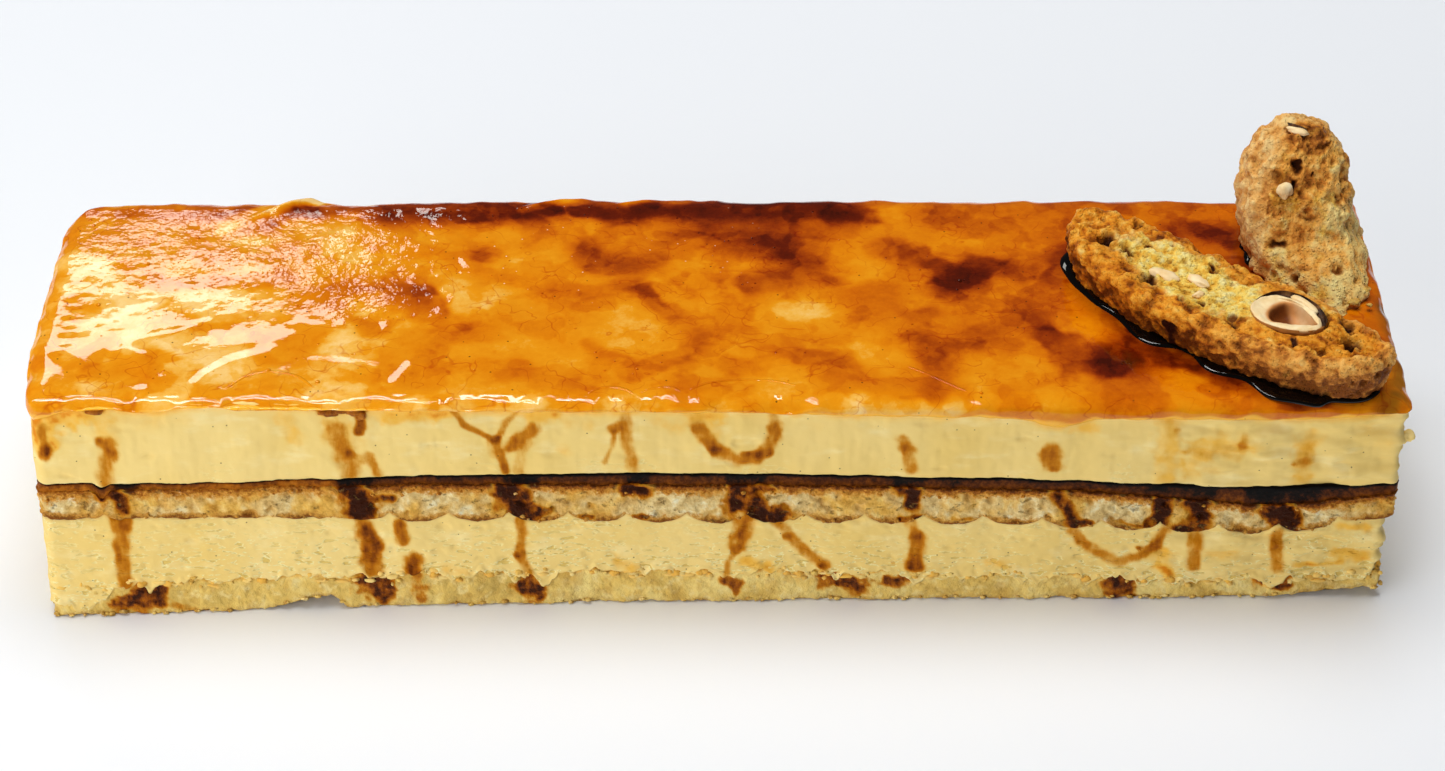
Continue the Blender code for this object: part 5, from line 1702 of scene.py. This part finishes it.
def bubbles():
    """Air bubbles in the glaze: the larger ones by place, and many fine ones at the left and back."""
    chance = random.Random(41)
    places = [(x, y, chance.uniform(0.45, 0.7)) for x, y in BUBBLES]
    for _ in range(FINE_BUBBLES):
        x = -145 + 215 * chance.random() ** 1.2
        y = chance.uniform(-36, 37)
        if noise.noise(Vector((x, y, 5.0)) / 18) > -0.1:
            places.append((x, y, chance.uniform(0.16, 0.34)))
    shape = canvas(("tone", "olive", "edge"))
    layer = shape.verts.layers.float["tone"]
    for x, y, radius in places:
        at_x, at_y = np.array([x]), np.array([y])
        z, tone = float(glaze_top(at_x, at_y)[0]), float(glaze_tone(at_x, at_y)[0])
        fineness = 1 if radius < 0.4 else 2
        for vertex in bmesh.ops.create_icosphere(shape, subdivisions=fineness, radius=radius * MM)["verts"]:
            vertex.co = vertex.co + Vector((x, y, z - 0.25 * radius)) * MM
            vertex[layer] = tone + 0.12
    return settle("glaze_bubbles", shape)


dress(bubbles(), GLAZE, "caramel")

SCALLOPS = [  # thin raised seams in the glaze behind the lip
    [(-28.6, -38.6), (-24.8, -36.0), (-20.5, -36.2), (-17.0, -38.8)],
    [(-17.4, -38.6), (-14.0, -36.6), (-9.6, -36.4), (-6.8, -38.6)],
    [(-7.2, -38.4), (-2.0, -34.6), (5.0, -33.0), (12.0, -33.4), (18.0, -35.4)],
    [(-107.0, -36.0), (-103.4, -31.8), (-98.0, -29.9), (-92.0, -31.4), (-87.4, -36.0)],
    [(42.0, -28.0), (47.0, -31.6), (52.0, -35.6), (56.0, -38.4)],
]


def scallops():
    """The thin seams where one pour of glaze met the next."""
    shape = canvas(("tone", "olive", "edge"))
    for path in SCALLOPS:
        rings = bead(path, 0.38, 0.14, glaze_top)
        flat = np.zeros(rings.shape[:2])
        tone = glaze_tone(rings[..., 0], rings[..., 1]) + 0.06
        grow(shape, rings, {"tone": tone, "olive": flat, "edge": flat}, False)
    return settle("glaze_seams", shape)


dress(scallops(), GLAZE, "caramel")

# ---------------------------------------------------------------- the picture: floor, lights and camera


def floor():
    """A wide sheet of white paper."""
    shape = bmesh.new()
    bmesh.ops.create_grid(shape, x_segments=40, y_segments=40, size=2.0)
    plane = settle("floor", shape)
    mix = Finish("white_paper", 0.6, {"Specular IOR Level": 0.2})
    colour = mix.ramp(mix.cloud(400, 2), (0.3, (238, 241, 246)), (0.7, (240, 243, 247)))
    plane.data.materials.append(mix.done(colour, mix.relief(mix.cloud(1.5, 3), 0.02, 0.3)))


LENS, SENSOR = 82.2, 36.0
CAMERA_PLACE, CAMERA_TILT = (0.0014, -0.61755, 0.4794), math.radians(54)
SKY_STRENGTH = 0.055
LIP_GLINTS = [  # where each lamp that glints along the lip hangs, and how wide it is
    (-0.533, 0.046), (-0.433, 0.075), (-0.353, 0.018), (-0.221, 0.057), (-0.114, 0.043), (-0.062, 0.012),
]


def softbox(name, place, aim, size, power, colour=(1.0, 1.0, 1.0)):
    """A flat lamp, with its place, aim and size in metres and its power in watts."""
    light = bpy.data.lights.new(name, "AREA")
    light.shape = "RECTANGLE"
    light.size, light.size_y = size
    light.energy = power
    light.color = colour
    obj = bpy.data.objects.new(name, light)
    bpy.context.scene.collection.objects.link(obj)
    obj.location = place
    obj.rotation_euler = (Vector(aim) - Vector(place)).to_track_quat("-Z", "Y").to_euler()
    return obj


def photograph():
    """The room's dim sky and the camera, at the photo's angle."""
    scene = bpy.context.scene
    world = bpy.data.worlds.new("room")
    world.use_nodes = True
    sky = world.node_tree.nodes["Background"]
    sky.inputs["Color"].default_value = (0.93, 0.96, 1.0, 1.0)
    sky.inputs["Strength"].default_value = SKY_STRENGTH
    scene.world = world
    scene.view_settings.view_transform = "Standard"
    camera = bpy.data.cameras.new("camera")
    camera.lens, camera.sensor_width = LENS, SENSOR
    stand = bpy.data.objects.new("camera", camera)
    stand.location = CAMERA_PLACE
    stand.rotation_euler = (CAMERA_TILT, 0.0, 0.0)
    scene.collection.objects.link(stand)
    scene.camera = stand


floor()
softbox("window_behind_left", (-0.42, 1.02, 0.732), (-0.10, 0.0, 0.05), (0.40, 0.14), 1.26, (1.0, 0.99, 0.92))
fill = softbox("fill_front_left", (-0.66, -0.70, 0.31), (-0.03, 0.0, 0.03), (0.9, 0.56), 5.6)
fill.visible_glossy = False
overhead = softbox("top", (-0.12, 0.22, 1.9), (0.0, 0.05, 0.0), (1.8, 1.4), 37.0)
overhead.visible_glossy = False
for across, width in LIP_GLINTS:
    size, power = (0.75 * width, 0.5), 24.0 * width
    glint = softbox("lip_light", (across, 0.22, 1.12), (-0.08, -0.04, 0.05), size, power)
    glint.visible_diffuse = False
photograph()
